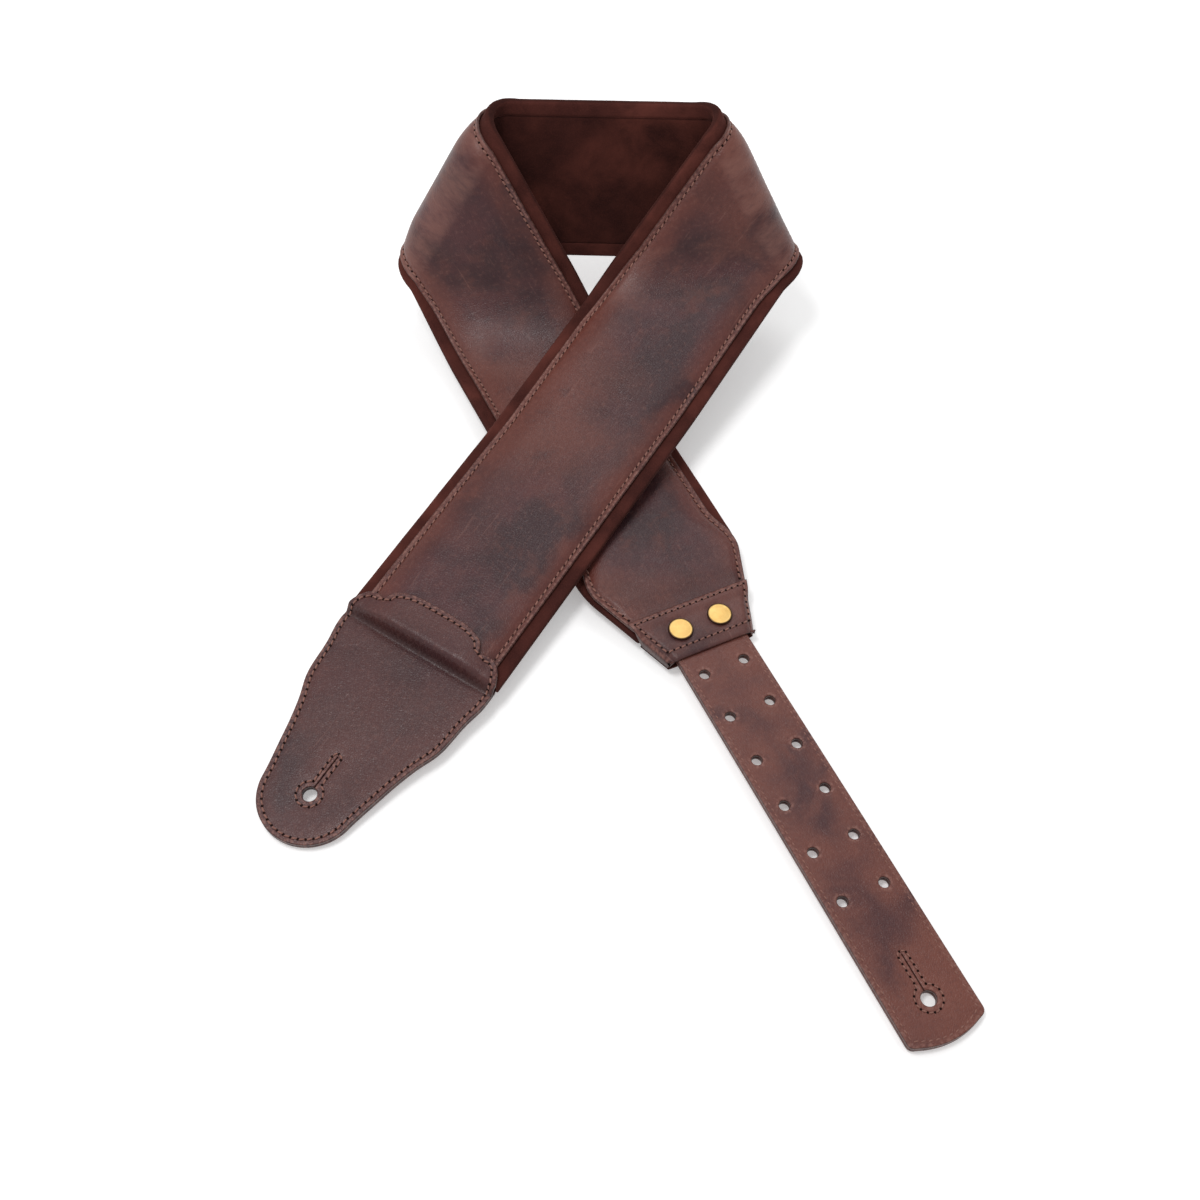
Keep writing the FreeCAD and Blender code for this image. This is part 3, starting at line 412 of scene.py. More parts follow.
def stitches(name, seams, pitch=3.9, gap=0.9, radius=0.5, slant=9.0):
    """Thread as separate stitches: each is a short tube that rises from one needle hole and dips
    into the next, a little aslant to the seam. Seams are (points, normals) in metres."""
    verts, faces, count = [], [], 0
    holes, hole_n = [], []
    for points, normals in seams:
        gaps = np.linalg.norm(np.diff(points, axis=0), axis=1)
        length = np.concatenate([[0], np.cumsum(gaps)])
        number = max(1, int(round(length[-1] / (pitch * MM))))
        step = length[-1] / number
        start = np.arange(number) * step
        f = np.linspace(0, 1, 6)
        at = start[:, None] + step * (0.5 * gap / pitch + f[None, :] * (1 - gap / pitch))
        centre = np.stack([np.interp(at, length, points[:, i]) for i in range(3)], -1)
        up = unit(np.stack([np.interp(at, length, normals[:, i]) for i in range(3)], -1))
        way = unit(centre[:, -1:] - centre[:, :1])
        side = unit(np.cross(up, way + 0 * up))
        jitter = RANDOM.uniform(0.8, 1.2, (number, 1))
        rise = (np.sin(math.pi * f)[None, :] ** 0.6 * 0.85 - 0.25) * radius * jitter
        lean = (f[None, :] - 0.5) * (pitch - gap) * math.tan(math.radians(slant))
        centre = centre + (up * rise[..., None] + side * lean[..., None]) * MM
        around = np.arange(6) * math.pi / 3
        swell = (0.62 + 0.38 * np.sin(math.pi * f) ** 0.5)[None, :, None, None] * radius * MM
        ring = side[:, :, None] * np.cos(around)[None, None, :, None] \
            + up[:, :, None] * 0.8 * np.sin(around)[None, None, :, None]
        tube = centre[:, :, None] + ring * swell
        verts.append(tube.reshape(-1, 3))
        quads = grid_faces(6, 6, True)
        for k in range(number):
            base = count + k * 36
            faces.extend((quads + base).tolist())
            faces.append([base + i for i in range(6)][::-1])
            faces.append([base + 30 + i for i in range(6)])
        count += number * 36
        at = np.concatenate([start, [length[-1]]])
        holes.append(np.stack([np.interp(at, length, points[:, i]) for i in range(3)], -1))
        hole_n.append(unit(np.stack([np.interp(at, length, normals[:, i]) for i in range(3)], -1)))
    piece = make_object(name, np.concatenate(verts), faces)
    fix_normals(piece)
    return piece, np.concatenate(holes), np.concatenate(hole_n)


def needle_holes(name, points, normals, radius=0.72):
    """Oval dimples between the stitches, given a dark material as painted shade of the holes: shallow cones
    of eight sides, just above the leather.
    """
    helper = np.where(np.abs(normals[:, 2:]) < 0.9, [[0, 0, 1.0]], [[1.0, 0, 0]])
    x = unit(np.cross(helper, normals))
    y = np.cross(normals, x)
    a = np.arange(8) * math.pi / 4
    spoke = x[:, None] * np.cos(a)[None, :, None] + y[:, None] * np.sin(a)[None, :, None]
    rim = points[:, None] + spoke * radius * MM + normals[:, None] * 0.16 * MM
    centre = points + normals * 0.02 * MM
    low = points - normals * 0.4 * MM
    verts = np.concatenate([rim, centre[:, None], low[:, None]], 1)
    faces = []
    for k in range(len(points)):
        b = k * 10
        for i in range(8):
            faces.append([b + i, b + (i + 1) % 8, b + 8])
            faces.append([b + (i + 1) % 8, b + i, b + 9])
    return make_object(name, verts.reshape(-1, 3), faces, smooth=False)


# ---- flat leather parts ----
def inside_polygon(points, polygon):
    """Even-odd test, for arrays of points."""
    x, y = points[:, 0:1], points[:, 1:2]
    a, b = polygon, np.roll(polygon, -1, 0)
    crosses = (a[:, 1] > y) != (b[:, 1] > y)
    with np.errstate(divide="ignore", invalid="ignore"):
        at = (b[:, 0] - a[:, 0]) * (y - a[:, 1]) / (b[:, 1] - a[:, 1]) + a[:, 0]
    return (np.sum(crosses & (x < at), 1) % 2) == 1


def loop_area(loop):
    """Signed area: half the sum of the cross products of neighbouring points."""
    return 0.5 * np.sum(loop[:, 0] * np.roll(loop[:, 1], -1) - np.roll(loop[:, 0], -1) * loop[:, 1])


def loop_inset(loop, distance):
    """Closed loop moved into the leather by a distance, square to its own line."""
    way = np.roll(loop, -1, 0) - np.roll(loop, 1, 0)
    way = way / np.maximum(np.linalg.norm(way, axis=1, keepdims=True), 1e-9)
    return loop + distance * np.stack([-way[:, 1], way[:, 0]], 1)


def nearest(points, line):
    """Distance from each point to the nearest of the points of a line."""
    return np.sqrt(((points[:, None] - line[None]) ** 2).sum(-1)).min(1)


def plate(name, outline, holes, top, bottom, spacing=2.2, rounding=0.6, seams=(), groove=0.3):
    """Sheet of leather cut to an outline, with rounded edges, grooves under its seams and through
    holes. Its faces are a triangulated grid; its rim is a quarter round, a wall and a quarter round."""
    loops = [np.asarray(outline, float)] + [np.asarray(h, float) for h in holes]
    loops[0] = loops[0] if loop_area(loops[0]) > 0 else loops[0][::-1]
    loops[1:] = [h if loop_area(h) < 0 else h[::-1] for h in loops[1:]]
    low, high = loops[0].min(0), loops[0].max(0)
    xs, ys = np.arange(low[0], high[0], spacing), np.arange(low[1], high[1], spacing * 0.9)
    gx, gy = np.meshgrid(xs, ys, indexing="ij")
    gx = gx + (np.arange(len(ys)) % 2)[None, :] * spacing / 2
    cloud = np.stack([gx.ravel(), gy.ravel()], 1)
    insets = [loop_inset(p, rounding) for p in loops]
    keep = inside_polygon(cloud, insets[0])
    for p in insets[1:]:
        keep &= ~inside_polygon(cloud, p)
    rim = np.concatenate(insets)
    keep &= nearest(cloud, rim) > 0.45 * spacing
    cloud = cloud[keep]
    flat = np.concatenate([rim, cloud])
    edges, start = [], 0
    for p in insets:
        k = len(p)
        edges += [(start + i, start + (i + 1) % k) for i in range(k)]
        start += k
    v, _, tris, *_ = delaunay_2d_cdt([Vector(p) for p in flat.tolist()], edges, [], 0, 1e-5)
    v = np.array([list(p) for p in v])
    tris = np.array([list(t) for t in tris])
    mid = v[tris].mean(1)
    ok = inside_polygon(mid, insets[0])
    for p in insets[1:]:
        ok &= ~inside_polygon(mid, p)
    tris = tris[ok]
    area = np.cross(v[tris[:, 1]] - v[tris[:, 0]], v[tris[:, 2]] - v[tris[:, 0]])
    tris[area < 0] = tris[area < 0][:, ::-1]
    line = np.concatenate(loops)

    def dents(p):
        dent = np.zeros(len(p))
        for seam in seams:
            dent = np.maximum(dent, np.exp(-(nearest(p, seam) / 1.0) ** 2))
        return groove * dent

    st, nn, faces = [v, v], [top(v[:, 0], v[:, 1]) - dents(v), bottom(v[:, 0], v[:, 1])], []
    faces += tris.tolist() + (tris[:, ::-1] + len(v)).tolist()
    count = 2 * len(v)
    for p in loops:
        quarter = np.linspace(0, math.pi / 2, 4)
        ins = rounding * (1 - np.sin(quarter))
        drop = rounding * (1 - np.cos(quarter))
        rings, heights = [], []
        for i, d in zip(ins, drop):
            q = loop_inset(p, i)
            rings.append(q)
            heights.append(top(q[:, 0], q[:, 1]) - d - dents(q) * (i > 0))
        for i, d in zip(ins[::-1], drop[::-1]):
            q = loop_inset(p, i)
            rings.append(q)
            heights.append(bottom(q[:, 0], q[:, 1]) + d)
        k = len(p)
        st.append(np.concatenate(rings))
        nn.append(np.concatenate(heights))
        faces += grid_faces(len(rings), k, True, count).tolist()
        count += len(rings) * k
    st, nn = np.concatenate(st), np.concatenate(nn)
    verts = lay(st[:, 0], st[:, 1], nn)
    edge = np.clip(nearest(st, line) / EDGE_REACH, 0, 1)
    # painted shade: a dark line across the tab at the foot of its step down off the padding
    crease = np.exp(-((st[:, 0] + TAB_LEG + 3.6) / 1.9) ** 2)
    piece = make_object(name, verts, faces, st * MM, {"edge": edge, "fold": 0 * edge, "crease": crease})
    fix_normals(piece, merge=2e-6)
    return piece


def circle(x, y, radius, count=28):
    """Points at even angles round a centre."""
    a = np.arange(count) * 2 * math.pi / count
    return np.stack([x + radius * np.cos(a), y + radius * np.sin(a)], 1)


def keyhole_loop(centre, way):
    """Round button hole and its slit in one loop."""
    r, w = BUTTON_HOLE / 2, SLIT_WIDTH / 2
    a0 = math.asin(w / r)
    a = np.linspace(a0, 2 * math.pi - a0, 40)
    ring = np.stack([r * np.cos(a), r * np.sin(a)], 1)
    out = np.stack([np.linspace(r + 1.5, SLIT_LENGTH, 14), np.full(14, -w)], 1)
    end = np.array([[SLIT_LENGTH + 0.35, 0.0]])
    loop = np.concatenate([ring, out, end, out[::-1] * [1, -1]])
    return loop * [way, 1] + [centre, 0]


def keyhole_seam(centre, way):
    """Closed run of thread round the hole and along both sides of the slit."""
    r, w = BUTTON_HOLE / 2 + KEYHOLE_SEAM, KEYHOLE_SEAM_SLIT
    a0 = math.asin(w / r)
    tip = SLIT_LENGTH + 1.5
    a = np.linspace(a0, 2 * math.pi - a0, 60)
    ring = np.stack([r * np.cos(a), r * np.sin(a)], 1)
    low = np.stack([np.linspace(r * math.cos(a0) + 0.8, tip - w, 20), np.full(20, -w)], 1)
    b = np.linspace(-math.pi / 2, math.pi / 2, 12)[1:-1]
    end = np.stack([tip - w + w * np.cos(b), w * np.sin(b)], 1)
    run = np.concatenate([ring, low, end, low[::-1] * [1, -1], ring[:1]])
    return run * [way, 1] + [centre, 0]


def mirrored(run):
    """A half run from the middle out, with its mirror image before it."""
    run = np.asarray(run, float)
    return np.concatenate([(run * [1, -1])[run[:, 1] > 1e-6][::-1], run])


def spline(points, count):
    """Smooth run through points, by cubic pieces whose slopes come from their neighbours."""
    p = np.asarray(points, float)
    gaps = np.linalg.norm(np.diff(p, axis=0), axis=1)
    u = np.concatenate([[0], np.cumsum(gaps)])
    m = np.gradient(p, u, axis=0)
    at = np.linspace(0, u[-1], count)
    i = np.clip(np.searchsorted(u, at, side="right") - 1, 0, len(u) - 2)
    h = (u[i + 1] - u[i])[:, None]
    x = ((at - u[i]) / h[:, 0])[:, None]
    return (2 * x**3 - 3 * x**2 + 1) * p[i] + (x**3 - 2 * x**2 + x) * h * m[i] \
        + (3 * x**2 - 2 * x**3) * p[i + 1] + (x**3 - x**2) * h * m[i + 1]


# tail
def tail_tip(inset):
    """Half of the tip: a parabola across, and a rounded corner of a second parabola."""
    w = TAIL_WIDTH / 2 - inset
    corner = max(0.8, TAIL_CORNER - 0.5 * inset)
    end, side = TAIL_END - inset, TAIL_END - TAIL_END_CROWN - inset
    y = np.linspace(0, w - corner, 12)
    run = np.stack([end - (end - side) * (y / w) ** 2, y], 1)
    x, slope = run[-1, 0], 2 * TAIL_END_CROWN * (w - corner) / w ** 2
    a = np.array([0.2, 0.4, 0.6, 0.8, 1.0])
    turn = np.stack([x - corner * (slope * a + (1 - slope) * a * a),
                     w - corner + corner * (2 * a - a * a)], 1)
    return np.concatenate([run, turn])


def tail_outline():
    """The crowned tip, two straight sides and a square inner end."""
    tip = mirrored(tail_tip(0.0))
    w = TAIL_WIDTH / 2
    corners = [[tip[-1, 0] - 1, w], [TAIL_START + 1.0, w], [TAIL_START, w - 1.0], [TAIL_START, 1.0 - w],
               [TAIL_START + 1.0, -w], [tip[0, 0] - 1, -w]]
    return resample(np.concatenate([tip, corners, tip[:1]]), 1.3)[:-1]


def tail_bow(s, t):
    """The tail is not quite flat: it lifts a little and twists towards its tip."""
    x = np.clip((s - POCKET_LEG - 12) / 200, 0, 1)
    return 0.5 * np.sin(x * 5.0) * x + 0.012 * t * x


TAIL_SEAM = mirrored(np.concatenate([tail_tip(TAIL_SEAM_INSET),
                     [[TAIL_START + TAIL_SEAM_INSET, TAIL_WIDTH / 2 - TAIL_SEAM_INSET]]]))
TAIL_KEY = keyhole_seam(TAIL_HOLE_S, -1)


def tail_height(s, t):
    """Top of the tail."""
    return TAIL_TOP + tail_bow(s, t)


def tail_pieces():
    """The two layers of the tail, with both rows of holes and the button hole."""
    holes = [circle(SNAP_S + i * HOLE_PITCH, way * HOLE_ROWS / 2, HOLE_DIAMETER / 2)
             for i in range(HOLE_PAIRS) for way in (-1, 1)]
    holes.append(keyhole_loop(TAIL_HOLE_S, -1))
    middle = TAIL_BASE + TAIL_LAYER
    seams = [resample(TAIL_SEAM, 1.0), resample(TAIL_KEY, 1.0)]
    front = plate("tail_leather_front", tail_outline(), holes, tail_height,
                  lambda s, t: middle + LAYER_GAP + tail_bow(s, t), seams=seams, rounding=0.55)
    back = plate("tail_leather_back", tail_outline(), holes, lambda s, t: middle + tail_bow(s, t),
                 lambda s, t: TAIL_BASE + tail_bow(s, t), rounding=0.55, spacing=4.0)
    return front, back


# end tab
TAB_FLANK = [(13.0, 1.13), (26.0, 1.25), (37.0, 1.38), (48.0, 1.55)]


def tab_flank():
    """One side of the tab: an arc round the button hole, then a smooth run out to its shoulder."""
    r = TAB_TIP_RADIUS
    a = np.radians(np.linspace(0, 84, 13))
    tip = np.stack([TAB_HOLE_S - r * np.cos(a), r * np.sin(a)], 1)
    run = [(TAB_HOLE_S + x, r * k) for x, k in TAB_FLANK]
    run += [(-TAB_LEG - 22, TAB_SHOULDER - 2.2), (-TAB_LEG - 12, TAB_SHOULDER - 0.3),
            (-TAB_LEG, TAB_SHOULDER)]
    return spline(np.concatenate([tip, run]), 110)


def bracket():
    """Half of the scalloped edge, from the middle out: a broad lobe, a notch and a side lobe."""
    top, t = -TAB_LEG, BRACKET_NOTCH_T
    x = np.linspace(0, t - 2.5, 22)
    fall = BRACKET_DEPTH - BRACKET_NOTCH - 5.5
    mid = np.stack([top + BRACKET_DEPTH - fall * (x / (t - 2.5)) ** 4, x], 1)
    mid = np.concatenate([mid, [[top + BRACKET_NOTCH + 2.0, t - 0.7], [top + BRACKET_NOTCH, t]]])
    side = TAB_SHOULDER - 1.0
    lobe = [(top + BRACKET_NOTCH, t), (top + BRACKET_LOBE - 0.5, t + 3.0), (top + BRACKET_LOBE, t + 6.5),
            (top + BRACKET_LOBE - 1.8, side - 4.0), (top + 4.0, side - 0.8), (top, TAB_SHOULDER)]
    return mid, spline(lobe, 30)


def tab_over(s, t):
    """Underside of the front layer: over the padding, then down a soft crease to the back layer."""
    inner = np.minimum(np.abs(t), HALF - BORDER - 0.3)
    over = panel_under(np.full_like(inner, -TAB_LEG), inner) + LEATHER + GLUE
    over = over - 0.30 * np.maximum(0.0, np.abs(t) - inner)
    down = ease((-TAB_LEG - 0.6 - s) / TAB_DROP)
    return over + (TAB_BASE - over) * down


def tab_height(s, t):
    """Top of the front layer, with a ridge and a groove where it drops off the padding."""
    ridge = 0.8 * np.exp(-((s + TAB_LEG - 2.2) / 2.8) ** 2)
    furrow = 0.7 * np.exp(-((s + TAB_LEG + 4.6) / 1.8) ** 2)
    swell = 0.3 * wander(s, t, 40.0, 21) * ease((-s - TAB_LEG - 12) / 10)
    return tab_over(s, t) + TAB_FRONT_LAYER + ridge - furrow + np.maximum(swell, -0.2)


def tab_seams():
    """Runs of thread: inside the flanks, inside the scalloped edge, and round the button hole."""
    flank = mirrored(tab_flank())
    side = inset_run(flank[flank[:, 0] < -TAB_LEG - 0.5], -TAB_SEAM_INSET)
    mid, lobe = bracket()
    arch = inset_run(mirrored(mid), TAB_SEAM_INSET)
    arch = arch[np.abs(arch[:, 1]) < BRACKET_NOTCH_T - 3.2]
    lobes = []
    for way in (-1, 1):
        run = lobe * [1, way]
        run = inset_run(run, TAB_SEAM_INSET * (1 if way > 0 else -1))
        lobes.append(run[4:])
    scallop = np.concatenate([lobes[0][::-1], arch, lobes[1]])
    return side, scallop, keyhole_seam(TAB_HOLE_S, 1)


def tab_pieces():
    """The two layers of the end tab; the front one runs on over the padding."""
    flank = mirrored(tab_flank())
    mid, lobe = bracket()
    outline = np.concatenate([flank, lobe[::-1][1:], mirrored(mid)[::-1][1:], (lobe * [1, -1])[1:-1]])
    outline = resample(np.concatenate([outline, outline[:1]]), 1.1)[:-1]
    hole = [keyhole_loop(TAB_HOLE_S, 1)]
    seams = [resample(r, 1.0) for r in tab_seams()]
    front = plate("tab_leather_front", outline, hole, tab_height, tab_over, seams=seams, spacing=1.7,
                  rounding=0.6, groove=0.35)
    start = -TAB_LEG - GLUE
    back_line = flank[flank[:, 0] < start]
    w = TAB_SHOULDER - 0.1
    back_line = np.concatenate([back_line, [[start, w], [start, -w]]])
    back_line = resample(np.concatenate([back_line, back_line[:1]]), 1.4)[:-1]
    back = plate("tab_leather_back", back_line, hole, lambda s, t: TAB_LIFT + TAB_BACK_LAYER + 0 * s,
                 lambda s, t: TAB_LIFT + 0 * s, rounding=0.5, spacing=4.0)
    return front, back


# mouth band
def band_under(s):
    """Underside of the band: straight lines between its heights at the panel, snaps and mouth."""
    step = PANEL_END + 0.6
    return np.interp(s, [BAND_START, step, step + 2.6, SNAP_S + SOCKET_DIAMETER / 2 + 0.6, POCKET_LEG],
                     [BAND_AT_TOP, BAND_AT_TOP, BAND_AT_SNAP, BAND_AT_SNAP, BAND_AT_MOUTH])


def band_height(s, t):
    """Top of the band: a step down behind its upper edge, dished round each cap, rolled at the mouth."""
    soft = np.mean([band_under(s + d) for d in (-1.6, -0.8, 0, 0.8, 1.6)], 0)
    n = soft + BAND_THICKNESS
    for way in (-1, 1):
        r = np.hypot(s - SNAP_S, t - way * HOLE_ROWS / 2)
        n = n - 0.35 * np.exp(-((r - CAP_DIAMETER / 2) / 1.3) ** 2)
    return n


def mouth_band():
    """Leather band over the mouth: a section folded round the mouth edge, carried across the strap,
    with side walls turned down to the backing."""
    across = np.sin(np.linspace(-1.42, 1.42, 61)) / math.sin(1.42)
    r = BAND_THICKNESS / 2
    s_top = np.linspace(BAND_START, POCKET_LEG - 0.4, 40)
    fold = np.linspace(0, math.pi, 9)[1:-1]
    s_fold = POCKET_LEG - 0.4 + (r + 0.55) * np.sin(fold)
    n_fold = BAND_AT_MOUTH + r + r * np.cos(fold)
    s_low = np.linspace(POCKET_LEG - 0.4, BAND_START, 16)
    s = np.concatenate([s_top, s_fold, s_low])
    count = len(s)
    half = (half_width(np.minimum(s, POCKET_LEG)) - 0.3)[None, :]
    t = across[:, None] * half
    n = np.zeros_like(t)
    n[:, :40] = band_height(s_top[None, :] + 0 * t[:, :40], t[:, :40])
    n[:, 40:40 + len(s_fold)] = n_fold
    n[:, 40 + len(s_fold):] = band_under(s_low)[None, :]
    # the cut upper edge is rounded
    n[:, 0] -= 0.45
    n[:, 1] -= 0.08
    # the sides turn down to the backing past the end of the rolled edges
    side = np.clip(1 - (half - np.abs(t)) / 5.5, 0, 1)
    roll = ease((s - (BINDING_END - 3.0)) / 7.0)[None, :]
    is_top = (np.arange(count) < 40 + len(s_fold) // 2)[None, :]
    n = n - np.where(is_top, side ** 2 * 0.6 + side ** 1.7 * 3.6 * roll, 0)
    low = SUEDE + GLUE
    wall = (~is_top) & (half - np.abs(t) < 1.3) & (np.arange(count) >= 40 + len(s_fold))[None, :]
    n = np.where(wall, n + (low - n) * roll, n)
    verts = lay(np.broadcast_to(s[None, :], t.shape), t, n)
    faces = grid_faces(len(across), count, True).tolist() + end_faces(len(across), count)
    uv = np.stack([np.broadcast_to(s[None, :], t.shape), t], -1) * MM
    gap = np.minimum(half - np.abs(t), np.broadcast_to(np.abs(s[None, :] - BAND_START), t.shape))
    edge = np.clip(gap / EDGE_REACH, 0, 1)
    piece = make_object("band_leather", verts.reshape(-1, 3), faces, uv.reshape(-1, 2),
                        {"edge": edge.ravel(), "fold": 0 * edge.ravel()})
    fix_normals(piece)
    return piece


def lathe(name, profile, s, t, rim_from, count=48):
    """Turned part: a profile of (radius, height) carried round an axis square to the strap."""
    profile = np.asarray(profile, float)
    a = np.arange(count) * 2 * math.pi / count
    x = s + profile[:, 0:1] * np.cos(a)[None, :]
    y = t + profile[:, 0:1] * np.sin(a)[None, :]
    n = np.broadcast_to(profile[:, 1:2], x.shape)
    verts = lay(x, y, n).reshape(-1, 3)
    faces = grid_faces(len(profile), count, True).tolist() + end_faces(len(profile), count)
    # rim marks the outer part of the profile, which the brass darkens as painted shade
    rim = np.repeat(profile[:, 0] > rim_from, count)
    piece = make_object(name, verts, faces, attributes={"rim": rim})
    fix_normals(piece)
    return piece


def cap_profile():
    """Shank, underside, rolled rim and a slightly crowned face."""
    base, r = BAND_AT_SNAP + BAND_THICKNESS - 0.12, CAP_DIAMETER / 2
    rim = np.radians(np.linspace(-80, 80, 7))
    run = [(0.05, base - 1.6), (1.5, base - 1.6), (1.5, base), (r - 0.9, base)]
    run += [(r - 0.55 + 0.55 * math.cos(x), base + 0.62 + 0.55 * math.sin(x)) for x in rim]
    run += [(r - 1.15, base + 1.08), (r - 1.6, base + 1.12), (r - 3.0, base + 1.24), (r - 4.6, base + 1.31),
            (0.6, base + 1.35), (0.05, base + 1.35)]
    return run


# ---- finishes ----
def linear(*rgb):
    """Display colour from 0 to 255, as linear light."""
    return tuple((c / 255 / 12.92 if c / 255 <= 0.04045 else ((c / 255 + 0.055) / 1.055) ** 2.4)
                 for c in rgb) + (1.0,)


def new_group(name, inputs, outputs):
    """Shader node group with named inputs and outputs."""
    group = bpy.data.node_groups.new(name, "ShaderNodeTree")
    for key, kind, value in inputs:
        socket = group.interface.new_socket(key, in_out="INPUT", socket_type=kind)
        if value is not None:
            socket.default_value = value
    for key, kind in outputs:
        group.interface.new_socket(key, in_out="OUTPUT", socket_type=kind)
    given, out = group.nodes.new("NodeGroupInput"), group.nodes.new("NodeGroupOutput")
    return group, given.outputs, out


class Nodes:
    """Short ways to place and join nodes in one tree."""

    def __init__(self, tree):
        self.tree = tree

    def add(self, kind, inputs=None, **settings):
        node = self.tree.nodes.new(kind)
        for key, value in settings.items():
            setattr(node, key, value)
        for key, value in (inputs or {}).items():
            if isinstance(value, bpy.types.NodeSocket):
                self.tree.links.new(value, node.inputs[key])
            else:
                node.inputs[key].default_value = value
        return node

    def math(self, operation, a, b=None, c=None, clamp=False):
        node = self.tree.nodes.new("ShaderNodeMath")
        node.operation, node.use_clamp = operation, clamp
        for i, value in enumerate((a, b, c)):
            if isinstance(value, bpy.types.NodeSocket):
                self.tree.links.new(value, node.inputs[i])
            elif value is not None:
                node.inputs[i].default_value = value
        return node.outputs[0]

    def mix(self, factor, a, b, blend="MIX"):
        node = self.tree.nodes.new("ShaderNodeMix")
        node.data_type, node.blend_type = "RGBA", blend
        for key, value in ((0, factor), (6, a), (7, b)):
            if isinstance(value, bpy.types.NodeSocket):
                self.tree.links.new(value, node.inputs[key])
            else:
                node.inputs[key].default_value = value
        return node.outputs[2]

    def noise(self, where, scale, detail=3.0, rough=0.55, distortion=0.0):
        return self.add("ShaderNodeTexNoise", {"Vector": where, "Scale": scale, "Detail": detail,
                        "Roughness": rough, "Distortion": distortion}).outputs[0]

    def join(self, output, socket):
        self.tree.links.new(output, socket)

    def times(self, a, b):
        return self.math("MULTIPLY", a, b)

    def tint(self, tone, mask, amount, colour):
        """The tone, moved towards a colour by a share of the mask."""
        return self.mix(self.times(mask, amount), tone, colour)

    def cover(self, shader, tone, rough=None, raised=None):
        for value, key in ((tone, "Base Color"), (rough, "Roughness"), (raised, "Normal")):
            if value is not None:
                self.join(value, shader.inputs[key])

    def scaled(self, where, size):
        return self.add("ShaderNodeVectorMath", {0: where, "Scale": size}, operation="SCALE").outputs[0]

    def place(self, kind="Object"):
        return self.add("ShaderNodeTexCoord").outputs[kind]

    def read(self, attribute):
        return self.add("ShaderNodeAttribute", attribute_name=attribute).outputs["Fac"]

    def bump(self, height, strength, distance):
        node = self.add("ShaderNodeBump", {"Height": height, "Strength": strength, "Distance": distance})
        return node.outputs[0]

    def ramp(self, value, low, high):
        node = self.add("ShaderNodeMapRange", {"Value": value, "From Min": low, "From Max": high},
                        interpolation_type="SMOOTHSTEP")
        return node.outputs[0]


def patina_group():
    """Pull-up leather: clouds of warm and dark tone, rubbed lighter patches and fine streaks, with painted
    shade along the tab's crease.
    """
    group, given, out = new_group("pull_up_patina", [
        ("Where", "NodeSocketVector", None), ("Deep", "NodeSocketColor", linear(52, 27, 31)),
        ("Body", "NodeSocketColor", linear(74, 38, 40)), ("Warm", "NodeSocketColor", linear(102, 54, 44)),
        ("Rubbed", "NodeSocketColor", linear(136, 94, 84)), ("Size", "NodeSocketFloat", 1.0),
        ("Edge", "NodeSocketFloat", 1.0), ("Fold", "NodeSocketFloat", 0.0),
        ("Crease_Shade", "NodeSocketFloat", 0.0)],
        [("Color", "NodeSocketColor"), ("Roughness", "NodeSocketFloat")])
    k = Nodes(group)
    where = k.scaled(given["Where"], given["Size"])
    clouds = k.noise(where, 22.0, 3.0, 0.55, 0.4)
    broad = k.noise(where, 8.0, 2.0, 0.5, 0.3)
    blotch = k.noise(where, 60.0, 4.0, 0.62, 0.2)
    speck = k.noise(where, 420.0, 3.0, 0.6)
    tone = k.mix(k.ramp(clouds, 0.38, 0.66), given["Deep"], given["Body"])
    tone = k.tint(tone, k.ramp(broad, 0.45, 0.68), 0.75, given["Warm"])
    tone = k.tint(tone, k.ramp(blotch, 0.50, 0.74), 0.40, given["Warm"])
    tone = k.tint(tone, k.ramp(blotch, 0.46, 0.26), 0.45, given["Deep"])
    flank = k.times(k.ramp(given["Edge"], 0.75, 0.12), k.ramp(clouds, 0.30, 0.52))
    tone = k.tint(tone, flank, 0.62, given["Warm"])
    stretched = k.add("ShaderNodeMapping", {"Vector": where, "Scale": (0.10, 1.6, 1.0),
                      "Rotation": (0.0, 0.0, 0.35)}).outputs[0]
    marks = k.ramp(k.noise(stretched, 240.0, 2.0, 0.5, 0.5), 0.66, 0.76)
    tone = k.tint(tone, marks, 0.22, given["Rubbed"])
    rubbed = k.times(given["Fold"], k.ramp(blotch, 0.30, 0.62))
    tone = k.tint(tone, rubbed, 0.42, given["Rubbed"])
    # scuffed light line beside the cut edge, dark burnish on the edge itself
    near = k.ramp(given["Edge"], 0.10, 0.035)
    tone = k.tint(tone, k.times(near, k.ramp(speck, 0.42, 0.62)), 0.65, given["Rubbed"])
    burnish = k.ramp(given["Edge"], 0.022, 0.0)
    tone = k.tint(tone, burnish, 0.6, linear(40, 22, 20))
    tone = k.tint(tone, k.ramp(speck, 0.52, 0.72), 0.16, given["Rubbed"])
    tone = k.tint(tone, k.ramp(speck, 0.48, 0.30), 0.25, given["Deep"])
    # painted shade at the tab's crease, darkened towards a near black brown
    tone = k.tint(tone, given["Crease_Shade"], 0.55, linear(40, 22, 22))
    rough = k.math("ADD", k.times(blotch, 0.26), 0.24)
    rough = k.math("ADD", rough, k.times(rubbed, 0.08))
    k.join(tone, out.inputs["Color"])
    k.join(rough, out.inputs["Roughness"])
    return group


